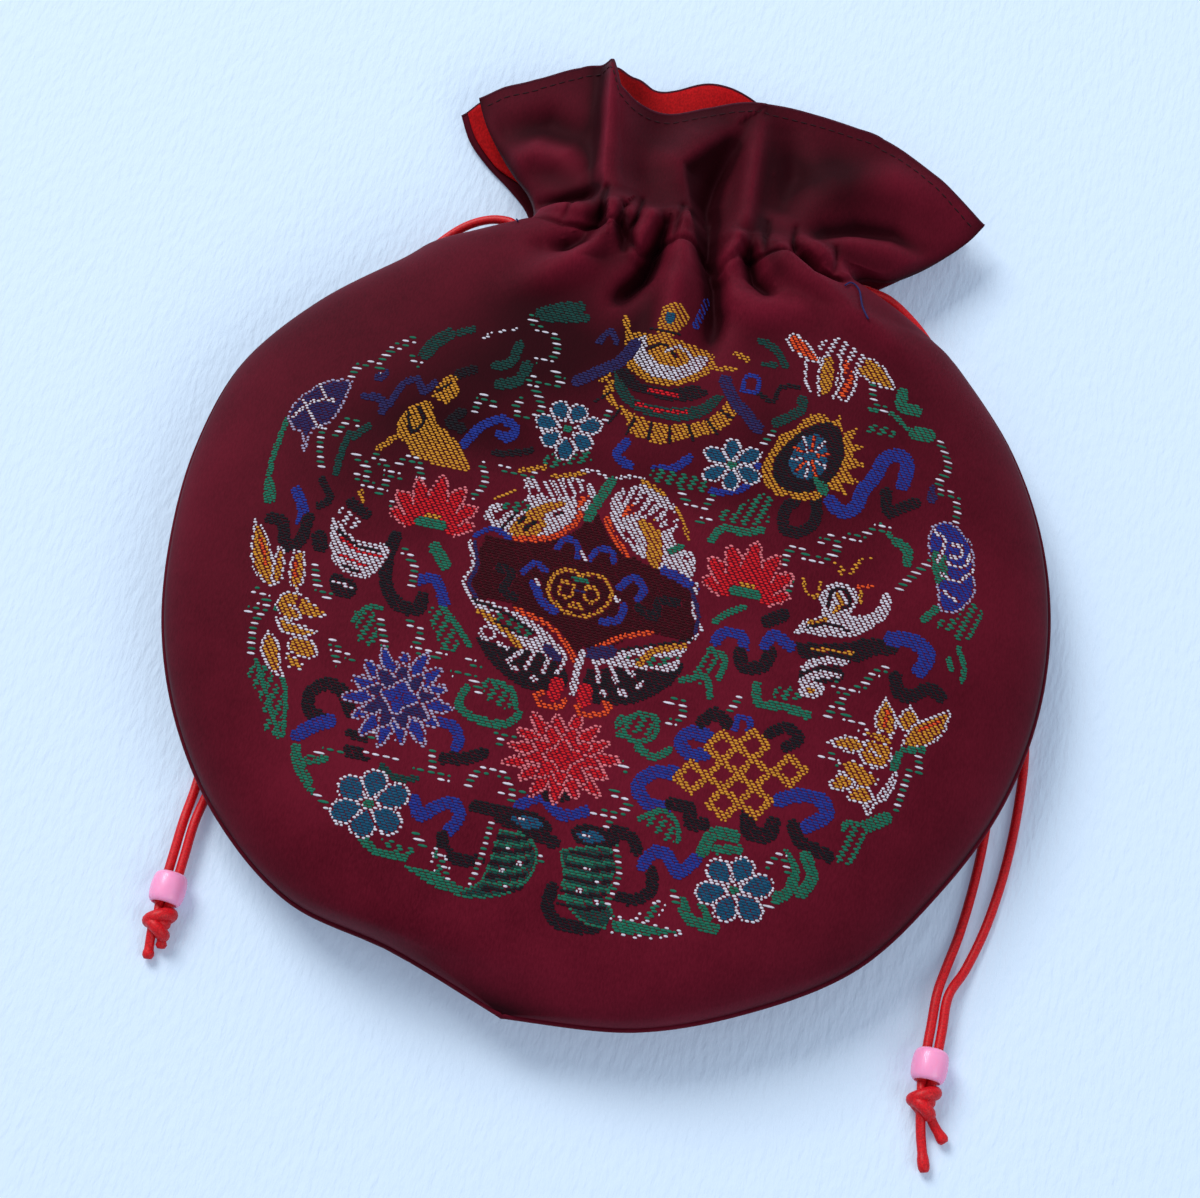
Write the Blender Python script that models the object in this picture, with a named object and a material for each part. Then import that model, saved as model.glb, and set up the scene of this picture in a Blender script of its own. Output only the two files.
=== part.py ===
"""Round drawstring pouch of brocade satin, lying on its back with the mouth towards +Y.

The pouch is two round panels with linings, gathered at the neck on two doubled drawcords.
Units below are millimetres; MM turns them into Blender's metres. +Z is up from the table, and
the origin is the centre of the round body's underside.
"""
import math

import bmesh
import bpy
import numpy as np

MM = 0.001

# Cloth
OUTER_CLOTH = 0.6          # satin brocade
LINING_CLOTH = 0.5         # plain lining
LAYER_GAP = 0.3            # clearance between two layers of cloth
LINING_GAP = 0.45          # clearance between the satin and its lining at the collar
BODY_LINING_SLACK = 0.6    # the lining hangs this much further off inside the body
STEEP_LIMIT = 2.0          # most that a wall is thickened along Z on a steep slope

# Round body
BODY_RADIUS = 102.0
BODY_HEIGHT = 30.5         # crown of the front panel above the table
SEAM_HEIGHT = 12.5         # side seam above the table
FLAT_SHARE = 0.42          # share of the radius that lies flat on the table
LINING_INSET = 4.2         # lining's edge, inside the side seam
COLLAR_LINING_INSET = 1.2  # back lining's edge along the open sides of the collar
SHOULDER_ANGLE = 137.0     # degrees round from the bottom of the body to each shoulder
# soft corners of the outline: angle in degrees, rise in mm, width in degrees
OUTLINE_BUMPS = ((161.0, 3.2, 13.0), (131.0, -2.0, 5.0), (254.0, -5.8, 11.0), (311.0, 2.0, 8.0))

# Casing that holds the drawcords
NECK_Y = 93.0              # middle line of the casing
NECK_SEAM_FRONT = 10.8     # front panel's edge at the cord exits
CASING_HALF = 4.0          # half height of the stretch that holds the cords
CASING_FADE = 3.6          # the lining comes back to the satin over this length
CASING_LINING_EDGE = 35.2  # the lining ends here at the casing, inside the cords' turns
BACK_GATHERS = 7           # gathers across the back panel
BACK_GATHER_DEPTH = 2.0

# Drawcords, beads and knots
CORD = 2.2                 # diameter
CORD_GAP = 0.3
TRACK_PITCH = 2.6          # the two cords lie this far apart in the casing
EXIT_X = 41.1              # where the free strands leave the casing
TURN_X = 35.9              # where a cord starts to turn back at the far side
CORD_STEP = 7.0            # spacing of the tube's points
BEAD_OUTER = 8.2
BEAD_LENGTH = 7.2
BEAD_BORE = 5.3
BEAD_ROUND = 1.5           # rounding of the bead's ends
BEAD_SEGMENTS = 18
BEAD_RUN = 16.5            # straight stretch of the strands, from the bead's middle
STRAND_SPREAD = 1.27       # each strand's distance from the middle of its bead
KNOT_SIZE = (8.0, 7.2, 7.0)
TAIL_RADII = (1.1, 1.1, 1.45, 1.1)   # the cut ends are melted into small blobs
LEFT_BEAD = (-80.8, -88.2)
RIGHT_BEAD = (93.4, -89.2)

# Mesh steps
LINING_START = 1.3         # first row of the linings
BODY_COLUMNS = 16
BODY_ROWS = 10
SATIN_BODY_ROWS = 14       # rows of the satin over the round body
NECK_LOW = BODY_ROWS + 2   # the row at the casing's lower edge
FRONT_COLUMNS = 34
BACK_COLUMNS = 18

HALF_CORD = CORD / 2
UNDER_Z = HALF_CORD + 0.02
LEFT_TRACK = NECK_Y - TRACK_PITCH / 2
RIGHT_TRACK = NECK_Y + TRACK_PITCH / 2
BEAD_AXIS = BEAD_OUTER / 2 + 0.05
STRAND_Z = BEAD_AXIS - 0.6
BACK_CORD_Z = BACK_GATHER_DEPTH + OUTER_CLOTH + LAYER_GAP + HALF_CORD
EXIT_Z = NECK_SEAM_FRONT - OUTER_CLOTH - HALF_CORD - 0.1
CORD_ARCH = 5.2            # the front cords rise this much at the middle of the neck

# Rows above the shoulders: left edge x, y, right edge x, y, front seam z, back seam z, crown z,
# and the share of the rim's own waves that the row takes. Here and below, y counts from NECK_Y.
FRONT_ROWS = (
    (-63, -13.5, 63.5, -13, 11.6, 11.6, 25.6, 0.0),
    (-56, -9.4, 56, -7.8, 10.8, 8.6, 25.4, 0.0),
    (-47.5, -5, 48, -3.7, 10.6, 2.2, 24.8, 0.0),
    (-41.5, -2.4, 42.5, -1.8, 10.8, 1, 24.2, 0.0),
    (-40, 0, 41, 0, 10.8, 0.8, 23.8, 0.0),
    (-40.4, 2.8, 43, 1.6, 11, 0.8, 22.4, 0.02),
    (-43, 6.8, 49, 2.6, 11, 0.6, 19.8, 0.12),
    (-47.6, 11.4, 55, 7, 10.6, 0.6, 17.2, 0.3),
    (-52.8, 17.6, 60.8, 13, 10, 0.7, 15.6, 0.52),
    (-57.9, 24.8, 65.6, 19, 9.6, 0.9, 14.8, 0.78),
    (-61.5, 32, 68.6, 24.6, 9, 1.2, 14, 1.0),
)
BACK_ROWS = FRONT_ROWS[:5] + (
    (-41.4, 4, 42, 3, 0, 0.9, 0, 0.02),
    (-44.4, 9, 46.5, 6.6, 0, 0.7, 0, 0.12),
    (-50, 14, 52, 11.2, 0, 0.7, 0, 0.3),
    (-56.2, 18.6, 57, 16, 0, 0.9, 0, 0.52),
    (-62.2, 24.2, 61.4, 21, 0, 1.6, 0, 0.78),
    (-66, 30.6, 63.6, 26, 0, 2.4, 0, 1.0),
)
FRONT_RIM = ((-61.5, 32), (-55.5, 35.5), (-48.5, 38.6), (-38, 44), (-33, 45.6), (-30.2, 45),
             (-28.4, 41.6), (-26.6, 37.4), (-22, 34.9), (-13, 35.3), (-5, 38.8), (5, 43),
             (13.5, 44), (22, 43.5), (32, 42.2), (40, 40.4), (55.6, 32.6), (68.6, 24.6))
BACK_RIM = ((-66, 30.6), (-62.5, 35.2), (-54, 40.4), (-42, 47.4), (-34, 52.2), (-30.6, 53.2),
            (-27, 51.9), (-24, 51.5), (-20, 49.7), (-15.5, 50.2), (-8, 52.8), (-2.4, 53.2),
            (2.4, 52.6), (6.5, 51.2), (23, 48.2), (38, 45), (52, 37), (63.6, 26))
# Folds of the front panel: points x, y with a height, and the widths on the left and the right
FOLDS = (
    (((-29.2, 44.5, 6), (-27.7, 33.5, 7), (-26, 23, 7), (-24.4, 13.4, 6.5), (-22.8, 6.6, 5.5),
      (-21.5, 2, 3.5)), 2.2, 8),
    (((3, 35, 1.2), (-2.8, 27.2, 3.6), (-7.6, 19.3, 5), (-6, 14, 4.6), (-2.8, 6.6, 3)), 8, 2.4),
    (((9.5, 38, 1), (10.2, 28, 2.6), (10.9, 18, 3.2), (11.7, 7, 3), (12, 1, 2)), 3.2, 2.2),
    (((3.5, 29, -2), (1.5, 19, -5), (1.2, 11, -5.4), (3.4, 2.4, -6), (5, -7, -7), (8, -13.5, -6.8),
      (10.2, -22, -6), (11, -33, -1)), 3, 3),
    (((-39.5, -1, 1.4), (-33.3, -0.8, 2.8), (-27, -1, 2.8), (-24, 1.2, 2)), 2.6, 2.6),
    (((-38, 3, -1.6), (-33.4, 3.6, -3.2), (-28.3, 5.2, -3), (-25.2, 7, -2)), 2, 2),
    (((-33, -13, -1.6), (-28.5, -11.4, -4.8), (-25, -9, -5), (-23.2, -5, -3.6)), 3.4, 3.4),
    (((-38, -26, 0.5), (-30.5, -21.3, 2.6), (-25.1, -16.6, 4), (-22.1, -11.2, 4), (-20, -6, 3.6),
      (-18.2, -1, 2.6)), 4.4, 2.8),
    (((-11, -11, 2), (-11, -6, 3), (-10, 0, 2.6)), 2.4, 2.4),
    (((-6.5, 0, -4), (-7.4, -9, -6.4), (-8.5, -16, -6.6), (-11.5, -21.5, -5), (-14, -27, 0)), 2.4, 2.6),
    (((-1.7, 0, 2), (0, -12, 4), (-0.3, -18, 4.4), (0, -25, 3.6), (0.6, -33, 2.4), (3, -43, 0)), 4, 4),
    (((9, -10, 2), (10.8, -6, 2.8), (12, -1, 2.6)), 2.2, 2.2),
    (((11.8, -13, 1.2), (14, -18, 2.6), (20, -20.4, 3), (28, -18, 1.6)), 4, 4),
    (((12.8, 2, -2), (14.8, -4.5, -6), (17, -10, -6), (20.8, -13.4, -3.4), (24, -15.4, 0)), 2.4, 2.4),
    (((20, -1, 2), (23.5, -4, 3.4), (29.5, -7.3, 3.6), (40.9, -14, 2.6), (55, -21.4, 0.5)), 4, 4),
    (((25.5, 0.5, -2.4), (27.4, -1.4, -4.6), (31.7, -4.6, -4.4), (36.5, -5.2, -2)), 2, 2),
    (((27, 4, 1.6), (32, 0.6, 3), (38, -1.4, 2)), 2.4, 2.4),
    (((28.6, 6, -1.6), (31.6, 9, -3), (38.1, 12.4, -3.2), (46.7, 14, -2.4),
      (54.2, 11.8, -0.8)), 2.8, 2.8),
    (((29, 4, 1.2), (37, 7, 2.8), (47, 8.2, 2.5), (56, 8.6, 1.2)), 4, 4),
    (((-50, 14, 1), (-43, 17, 2.8), (-36, 16, 2.8), (-30, 12, 1.2)), 4, 4),
    (((-52, 24, -1), (-42, 27, -2.4), (-33, 24, -1.4)), 5, 5),
    (((60, 27, 1), (45, 28, 2.6), (32, 22, 2.6), (24, 11, 1)), 7, 7),
    (((17, 36, -1), (20, 25, -3), (19, 15, -2)), 4.4, 4.4),
    (((-62, -67, -0.3), (-24, -69, -0.9), (18, -71, -0.8), (52, -68, -0.2)), 6, 6),
)
LEFT_STRANDS = (
    ((-46, 92.6, 8.4), (-51.5, 92, 7), (-57.6, 88.6, 5.2), (-63.6, 82, 3.2), (-69, 73, 1.6),
     (-74.2, 58, 1.1), (-78.4, 38, 1.1), (-81.4, 14, 1.1), (-83, -12, 1.1), (-83.2, -36, 1.1),
     (-82.4, -54, 1.1), (-82.1, -63, 1.5)),
    ((-46, 90.4, 3.9), (-51.5, 87.4, 3.2), (-57, 82, 2.2), (-63, 74, 1.3), (-69, 60, 1.1),
     (-74, 40, 1.1), (-77.4, 15, 1.1), (-79.2, -12, 1.1), (-79.4, -36, 1.1), (-78.6, -54, 1.1),
     (-79, -63, 1.5)),
)
RIGHT_STRANDS = (
    ((45, 93.6, 8.6), (49.4, 92, 7.4), (54.3, 89.4, 5.8), (60, 85.2, 3.8), (66, 78.6, 2),
     (73, 67, 1.1), (82, 48, 1.1), (90, 28, 1.1), (97, 7, 1.1), (101.4, -9, 1.1),
     (102.6, -24, 1.1), (102.2, -40, 1.1), (100.4, -54, 1.1), (97.6, -65, 1.6)),
    ((45.5, 93, 3.8), (50, 91, 3.1), (54.5, 87, 2.5), (59, 81, 1.8), (64, 73, 1.2), (70, 62, 1.1),
     (78, 44, 1.1), (85.6, 24, 1.1), (91.6, 4, 1.1), (95.2, -14, 1.1), (96.2, -30, 1.1),
     (96, -44, 1.1), (94.8, -57, 1.1), (93.2, -66, 1.8)),
)
# Cut ends of the cords past each knot: points counted from the knot's centre
LEFT_TAILS = (((1.2, -0.8, 0), (1.5, -3.4, -1.2), (1.7, -5.4, -2.1)),
              ((-1.2, -0.8, 0), (-1, -4.4, -1.4), (-0.5, -8.4, -2.1)))
RIGHT_TAILS = (((0.8, -1, 0), (3.2, -4.4, -1.4), (6.4, -7.8, -2.1)),
               ((-0.4, -1, 0), (1, -7.4, -1.7), (3.2, -15, -2.1)))

SATIN = (0.102, 0.006, 0.016)
RED_CLOTH = (0.63, 0.01, 0.012)
RED_CORD = (0.69, 0.013, 0.013)
PINK = (1.0, 0.27, 0.57)


def material(name, colour, roughness):
    """A plain Principled material."""
    mat = bpy.data.materials.new(name)
    mat.use_nodes = True
    bsdf = mat.node_tree.nodes["Principled BSDF"]
    bsdf.inputs["Base Color"].default_value = (*colour, 1)
    bsdf.inputs["Roughness"].default_value = roughness
    return mat


def smoothstep(low, high, value):
    """0 below low, 1 above high, smooth between."""
    share = np.clip((value - low) / (high - low), 0, 1)
    return share * share * (3 - 2 * share)


def spline(points, where):
    """Smooth curve through rows of numbers, read at positions counted in rows."""
    points = np.asarray(points, float)
    last = len(points) - 1
    where = np.clip(np.asarray(where, float), 0, last)
    cell = np.minimum(where.astype(int), last - 1)
    t = (where - cell)[..., None]
    p0 = points[np.maximum(cell - 1, 0)]
    p1 = points[cell]
    p2 = points[cell + 1]
    p3 = points[np.minimum(cell + 2, last)]
    slope = p2 - p0
    bend = 2 * p0 - 5 * p1 + 4 * p2 - p3
    twist = 3 * (p1 - p2) + p3 - p0
    return p1 + 0.5 * t * (slope + t * (bend + t * twist))


def outline_radius(angle):
    """Radius of the body's side seam at an angle in degrees, counted from +X."""
    radius = BODY_RADIUS
    for place, rise, width in OUTLINE_BUMPS:
        off = (angle - place + 180) % 360 - 180
        radius += rise * math.exp(-(off / width) ** 2)
    return radius


def edge_rows(table):
    """Every row of a panel, from the bottom of the body to the rim."""
    rows = []
    for step in range(BODY_ROWS + 1):
        turn = SHOULDER_ANGLE * (step / BODY_ROWS) ** 0.93
        row = []
        for angle in (270 - turn, 270 + turn):
            radius = outline_radius(angle % 360)
            row += [radius * math.cos(math.radians(angle)), radius * math.sin(math.radians(angle))]
        rise = dome(math.sin(math.radians(min(turn, 90.0))) ** 2)
        crown = SEAM_HEIGHT + (BODY_HEIGHT - SEAM_HEIGHT) * rise
        crown -= (BODY_HEIGHT - table[0][6]) * 0.8 * smoothstep(95, SHOULDER_ANGLE, turn)
        rows.append(row + [SEAM_HEIGHT, SEAM_HEIGHT, crown, 0.0])
    for line in table:
        left_x, left_y, right_x, right_y = line[:4]
        rows.append([left_x, NECK_Y + left_y, right_x, NECK_Y + right_y, *line[4:]])
    return np.array(rows)


def dome(q):
    """Height share of a stuffed round panel: 0 at the seam, 1 at the middle."""
    return (1 - (1 - np.clip(q, 0, 1)) ** 1.9) ** 0.56


def fold_height(x, y):
    """Sum of the front panel's folds at a place, with y counted from the neck."""
    total = np.zeros_like(x)
    for points, left, right in FOLDS:
        best = np.full_like(x, 1e9)
        lift = np.zeros_like(x)
        for (ax, ay, ah), (bx, by, bh) in zip(points, points[1:]):
            dx, dy = bx - ax, by - ay
            share = np.clip(((x - ax) * dx + (y - ay) * dy) / (dx * dx + dy * dy), 0, 1)
            off_x = x - ax - share * dx
            off_y = y - ay - share * dy
            side = off_x * -dy + off_y * dx
            if dy > 0:
                side = -side
            width = np.where(side > 0, right, left) if abs(dy) > abs(dx) else left
            reach = np.hypot(off_x, off_y) / width
            nearer = reach < best
            best = np.where(nearer, reach, best)
            lift = np.where(nearer, ah + share * (bh - ah), lift)
        total += lift * np.exp(-best * best)
    return total


def rim_wave(rim, x):
    """How far a rim stands beyond the straight line between its two ends."""
    rim = np.array(rim)
    where = np.interp(x, rim[:, 0], np.arange(len(rim)))
    chord = np.interp(x, rim[[0, -1], 0], rim[[0, -1], 1])
    return spline(rim, where)[..., 1] - chord


def front_cord_z(x):
    """Height of the drawcords inside the front casing."""
    return EXIT_Z + CORD_ARCH * np.clip(1 - (x / EXIT_X) ** 2, 0, 1)


def casing_share(y, margin):
    """1 over the stretch of casing that holds the cords, 0 away from it."""
    held = CASING_HALF + margin
    return 1 - smoothstep(held, held + CASING_FADE, np.abs(y - NECK_Y))


def plan(rows, rim, u, v):
    """Place of a panel's point seen from above, with its row's heights."""
    row = spline(rows, v)
    share = (u + 1) / 2
    x = row[..., 0] + share * (row[..., 2] - row[..., 0])
    y = row[..., 1] + share * (row[..., 3] - row[..., 1])
    at_rim = rows[-1][0] + share * (rows[-1][2] - rows[-1][0])
    return x, y + row[..., 7] * rim_wave(rim, at_rim), row


def front_base(u, v):
    """Inner face of the satin on the front panel."""
    x, y, row = plan(FRONT, FRONT_RIM, u, v)
    seam, crown = row[..., 4], row[..., 6]
    edge = np.clip(1 - u * u, 0, 1)
    z = seam + LAYER_GAP / 2 + (crown - seam) * dome(edge)
    side = smoothstep(0, 0.12, edge)
    z = z + fold_height(x, y - NECK_Y) * side
    floor = front_cord_z(x) + HALF_CORD + LAYER_GAP
    above = z - floor
    clear = floor + 0.5 * (above + np.sqrt(above * above + 0.3))
    return x, y, z + casing_share(y, 0.5) * (clear - z)


def back_base(u, v):
    """Outer face of the satin on the back panel, which lies on the table."""
    x, y, row = plan(BACK, BACK_RIM, u, v)
    low = np.clip(-y / BODY_RADIUS, 0, 1)
    reach = np.sqrt(np.clip(1 - (1 - low * low) * (1 - u * u), 0, 1))
    lift = (np.clip(reach - FLAT_SHARE, 0, 1) / (1 - FLAT_SHARE)) ** 1.6
    top = row[..., 5] - (LAYER_GAP / 2 + OUTER_CLOTH * STEEP_LIMIT) * smoothstep(3, 8, row[..., 5])
    z = top * lift
    near = np.exp(-((y - NECK_Y) / 15) ** 2) * smoothstep(0, 0.4, 1 - u * u)
    gather = 0.5 - 0.5 * np.cos(2 * math.pi * BACK_GATHERS * (u + 1) / 2)
    z = z + BACK_GATHER_DEPTH * near * gather
    rim = smoothstep(0.5, 1, row[..., 7]) * (1 - u * u)
    return x, y, z + rim * (2.6 + 1.4 * np.cos(4.2 * math.pi * u + 0.6))


def thickened(base, u, v):
    """A place on a face, and how much a wall is thickened along Z on its slope."""
    step = 1e-3
    here = np.stack(base(u, v), -1)
    left, right = (np.stack(base(np.clip(u + by, -1, 1), v), -1) for by in (-step, step))
    below, above = (np.stack(base(u, v + by), -1) for by in (-step, step))
    normal = np.cross(right - left, above - below)
    size = np.linalg.norm(normal, axis=-1) + 1e-12
    slope = np.clip(size / (np.abs(normal[..., 2]) + 1e-12), 1, STEEP_LIMIT)
    return here, slope


def outer_front(u, v):
    """Lower and upper face of the front satin."""
    here, slope = thickened(front_base, u, v)
    return here, here[..., 2], here[..., 2] + OUTER_CLOTH * slope


def outer_back(u, v):
    """Lower and upper face of the back satin."""
    here, slope = thickened(back_base, u, v)
    return here, here[..., 2], here[..., 2] + OUTER_CLOTH * slope


def lining_gap(y):
    """Clearance between the satin and its lining: slack inside the body, close at the collar."""
    return LINING_GAP + BODY_LINING_SLACK * (1 - smoothstep(62, 84, y))


def lining_front(u, v):
    """Lower and upper face of the front lining, which passes under the front cords."""
    here, slope = thickened(front_base, u, v)
    y = here[..., 1]
    top = here[..., 2] - lining_gap(y) * slope
    under_cord = front_cord_z(here[..., 0]) - HALF_CORD - LAYER_GAP
    top = top + casing_share(y, 0.0) * (np.minimum(top, under_cord) - top)
    return here, top - LINING_CLOTH * slope, top


def lining_back(u, v):
    """Lower and upper face of the back lining, which passes over the back cords."""
    here, slope = thickened(back_base, u, v)
    y = here[..., 1]
    low = here[..., 2] + (OUTER_CLOTH + lining_gap(y)) * slope
    over_cord = BACK_CORD_Z + HALF_CORD + LAYER_GAP + 0.2
    low = low + casing_share(y, 0.0) * (np.maximum(low, over_cord) - low)
    return here, low, low + LINING_CLOTH * slope


def row_places(rows, kept, columns, collar_inset):
    """Grid of a panel: for each row its v and its u places; fewer columns in the plain body.

    A collar_inset above 0 makes it a lining, which ends inside the seams and the cords' turns.
    """
    grid = []
    for v in kept:
        row = spline(rows, v)
        half = (row[2] - row[0]) / 2
        if half < 1:
            grid.append((v, np.array([0.0])))
            continue
        in_body = v < BODY_ROWS - 1.5
        t = np.linspace(-1, 1, (BODY_COLUMNS if in_body else columns) + 1)
        round_share = 0.65 if in_body else 0.1
        u = (1 - round_share) * t + round_share * np.sin(math.pi / 2 * t)
        if collar_inset:
            share = casing_share((row[1] + row[3]) / 2, 1.0)
            in_collar = smoothstep(NECK_LOW + 5, NECK_LOW + 7, v)
            inset = LINING_INSET + (collar_inset - LINING_INSET) * in_collar
            edge = ((half - inset) * (1 - share) + CASING_LINING_EDGE * share) / half
            u = np.concatenate(([-edge], u[np.abs(u) < edge - 0.02], [edge]))
        grid.append((v, u))
    return grid


def zip_rows(bm, first, second, flip):
    """Faces between two rows of vertices that may differ in number."""
    (u1, row1), (u2, row2) = first, second
    i = j = 0
    while i < len(row1) - 1 or j < len(row2) - 1:
        take_first = j == len(row2) - 1 or (i < len(row1) - 1 and u1[i + 1] <= u2[j + 1])
        if take_first:
            corners = [row1[i], row1[i + 1], row2[j]]
            i += 1
        else:
            corners = [row1[i], row2[j + 1], row2[j]]
            j += 1
        bm.faces.new(corners[::-1] if flip else corners)


def cloth_sheet(name, layer, grid, mat):
    """One closed sheet of cloth between the two faces that layer gives."""
    bm = bmesh.new()
    faces = {"low": [], "high": []}
    for v, u in grid:
        here, low, high = layer(u, np.full_like(u, v))
        for side, heights in (("low", low), ("high", high)):
            verts = [bm.verts.new((x * MM, y * MM, z * MM)) for (x, y, _), z in zip(here, heights)]
            faces[side].append((u, verts))
    for side, rows in faces.items():
        for first, second in zip(rows, rows[1:]):
            zip_rows(bm, first, second, side == "low")
    for edge in (0, -1):
        low = [row[edge] for _, row in faces["low"]]
        high = [row[edge] for _, row in faces["high"]]
        close_side(bm, low, high, edge == 0)
    for end in (0, -1):
        low, high = faces["low"][end][1], faces["high"][end][1]
        if len(low) > 1:
            close_side(bm, low, high, end == -1)
    bmesh.ops.recalc_face_normals(bm, faces=bm.faces)
    return finish_mesh(name, bm, mat, 50)


def close_side(bm, low, high, flip):
    """Faces along an edge of a sheet."""
    for a, b, c, d in zip(low, low[1:], high[1:], high):
        bm.faces.new((d, c, b, a) if flip else (a, b, c, d))


def finish_mesh(name, bm, mat, sharp_angle):
    """Named object from a bmesh."""
    mesh = bpy.data.meshes.new(name)
    bm.to_mesh(mesh)
    bm.free()
    mesh.shade_smooth()
    mesh.set_sharp_from_angle(angle=math.radians(sharp_angle))
    mesh.materials.append(mat)
    obj = bpy.data.objects.new(name, mesh)
    bpy.context.collection.objects.link(obj)
    return obj


def even_points(route, step):
    """Points about step apart on a smooth curve through a route's own points."""
    fine = spline(route, np.linspace(0, len(route) - 1, 40 * len(route)))
    fine[:, 2] = np.maximum(fine[:, 2], UNDER_Z)
    length = np.concatenate(([0], np.cumsum(np.linalg.norm(np.diff(fine, axis=0), axis=1))))
    marks = np.linspace(0, length[-1], max(3, round(length[-1] / step) + 1))
    return np.stack([np.interp(marks, length, fine[:, k]) for k in range(3)], -1)


def cord(name, route, mat, step=CORD_STEP):
    """Round cord along a route."""
    points = even_points(route, step)
    curve = bpy.data.curves.new(name, "CURVE")
    curve.dimensions = "3D"
    curve.bevel_depth = HALF_CORD * MM
    curve.bevel_resolution = 2
    curve.use_fill_caps = True
    line = curve.splines.new("POLY")
    line.points.add(len(points) - 1)
    for point, place in zip(line.points, points):
        point.co = (*(place * MM), 1)
    curve.materials.append(mat)
    obj = bpy.data.objects.new(name, curve)
    bpy.context.collection.objects.link(obj)
    return obj


def casing_loop(name, side, track, mat):
    """Held stretch of a drawcord: along the front casing, round its far end and back."""
    start = EXIT_X - CORD_GAP
    marks = np.linspace(-start, TURN_X, 9)
    front = [(side * x, track, front_cord_z(x)) for x in marks]
    top = front_cord_z(TURN_X)
    bend = (top - BACK_CORD_Z) / 2
    middle = (top + BACK_CORD_Z) / 2
    turn = [(side * (TURN_X + bend * math.cos(a)), track, middle + bend * math.sin(a))
            for a in np.radians((45, 0, -45))]
    back = [(side * x, track, BACK_CORD_Z) for x in marks[::-1]]
    return cord(name, front + turn + back, mat, 5.2)


def bead(name, place, mat):
    """Barrel bead, turned about its bore along Y."""
    half = BEAD_LENGTH / 2
    outer, bore = BEAD_OUTER / 2, BEAD_BORE / 2
    belly = outer - 0.5
    profile = [(bore, half - 0.4), (bore + 0.4, half), (belly - 0.7, half), (belly + 0.15, half - 0.5),
               (outer - 0.1, half - BEAD_ROUND), (outer, 0), (outer - 0.1, BEAD_ROUND - half),
               (belly + 0.15, 0.5 - half), (belly - 0.7, -half), (bore + 0.4, -half), (bore, 0.4 - half)]
    bm = bmesh.new()
    verts = [bm.verts.new((r * MM, y * MM, 0)) for r, y in profile]
    edges = [bm.edges.new((a, b)) for a, b in zip(verts, verts[1:] + verts[:1])]
    bmesh.ops.spin(bm, geom=verts + edges, cent=(0, 0, 0), axis=(0, 1, 0), angle=2 * math.pi,
                   steps=BEAD_SEGMENTS, use_merge=True, use_duplicate=False)
    bmesh.ops.remove_doubles(bm, verts=bm.verts, dist=1e-6)
    bmesh.ops.recalc_face_normals(bm, faces=bm.faces)
    obj = finish_mesh(name, bm, mat, 40)
    obj.location = (place[0] * MM, place[1] * MM, BEAD_AXIS * MM)
    return obj


def tube_mesh(route, radii):
    """Closed tube along a few points, with a round end."""
    points = even_points(route, 1.6)
    ends = np.linspace(0, 1, len(points))
    sizes = np.interp(ends, np.linspace(0, 1, len(radii)), radii)
    bm = bmesh.new()
    rings = []
    for k, (place, radius) in enumerate(zip(points, sizes)):
        ahead = points[min(k + 1, len(points) - 1)] - points[max(k - 1, 0)]
        ahead = ahead / np.linalg.norm(ahead)
        across = np.cross(ahead, (0, 0, 1))
        across = across / np.linalg.norm(across)
        up = np.cross(across, ahead)
        ring = [bm.verts.new((place + radius * (math.cos(a) * across + math.sin(a) * up)) * MM)
                for a in np.linspace(0, 2 * math.pi, 8, endpoint=False)]
        rings.append(ring)
    for first, second in zip(rings, rings[1:]):
        for k in range(8):
            bm.faces.new((first[k], first[(k + 1) % 8], second[(k + 1) % 8], second[k]))
    bm.faces.new(rings[0][::-1])
    bm.faces.new(rings[-1])
    bmesh.ops.recalc_face_normals(bm, faces=bm.faces)
    return bm


def knot(name, bead_place, tails, mat):
    """Overhand knot past a bead, with the two cut ends of the cord."""
    size_x, size_y, size_z = KNOT_SIZE
    centre = (bead_place[0], bead_place[1] - BEAD_LENGTH / 2 - CORD_GAP - size_y / 2, size_z / 2 + 0.1)
    bm = bmesh.new()
    bmesh.ops.create_icosphere(bm, subdivisions=3, radius=1.0)
    for vert in bm.verts:
        x, y, z = vert.co
        across = abs(math.sin(2.4 * (x + 0.9 * y) + 0.5)) ** 6
        around = abs(math.sin(2.2 * (y - 0.8 * z))) ** 6
        wrap = 1 - 0.13 * across - 0.1 * around
        vert.co = ((centre[0] + x * wrap * size_x / 2) * MM, (centre[1] + y * wrap * size_y / 2) * MM,
                   (centre[2] + z * wrap * size_z / 2) * MM)
    body = finish_mesh(name, bm, mat, 60)
    for number, offsets in enumerate(tails):
        route = np.array(offsets) + centre
        end = finish_mesh(f"{name}_end_{number}", tube_mesh(route, TAIL_RADII), mat, 60)
        end.hide_render = True
        end.display_type = "WIRE"
        join = body.modifiers.new(f"end_{number}", "BOOLEAN")
        join.operation = "UNION"
        join.solver = "EXACT"
        join.object = end
    return body


def side_parts(side, name, track, strands, bead_place, tails, cord_mat, bead_mat):
    """One drawcord with its bead and knot."""
    casing_loop(f"{name}_drawcord_in_casing", side, track, cord_mat)
    for letter, middle, exit_z, spread in zip("ab", strands, (EXIT_Z, BACK_CORD_Z), (-side, side)):
        x = bead_place[0] + spread * STRAND_SPREAD
        through = [(x, bead_place[1] + along, STRAND_Z)
                   for along in (BEAD_RUN, BEAD_RUN / 2, -BEAD_LENGTH / 2)]
        straight = [(-side * (EXIT_X + out), track, exit_z) for out in (0, CORD)]
        route = straight + list(middle) + through
        cord(f"{name}_drawcord_strand_{letter}", route, cord_mat)
    bead(f"{name}_bead", bead_place, bead_mat)
    knot(f"{name}_knot", bead_place, tails, cord_mat)


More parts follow.
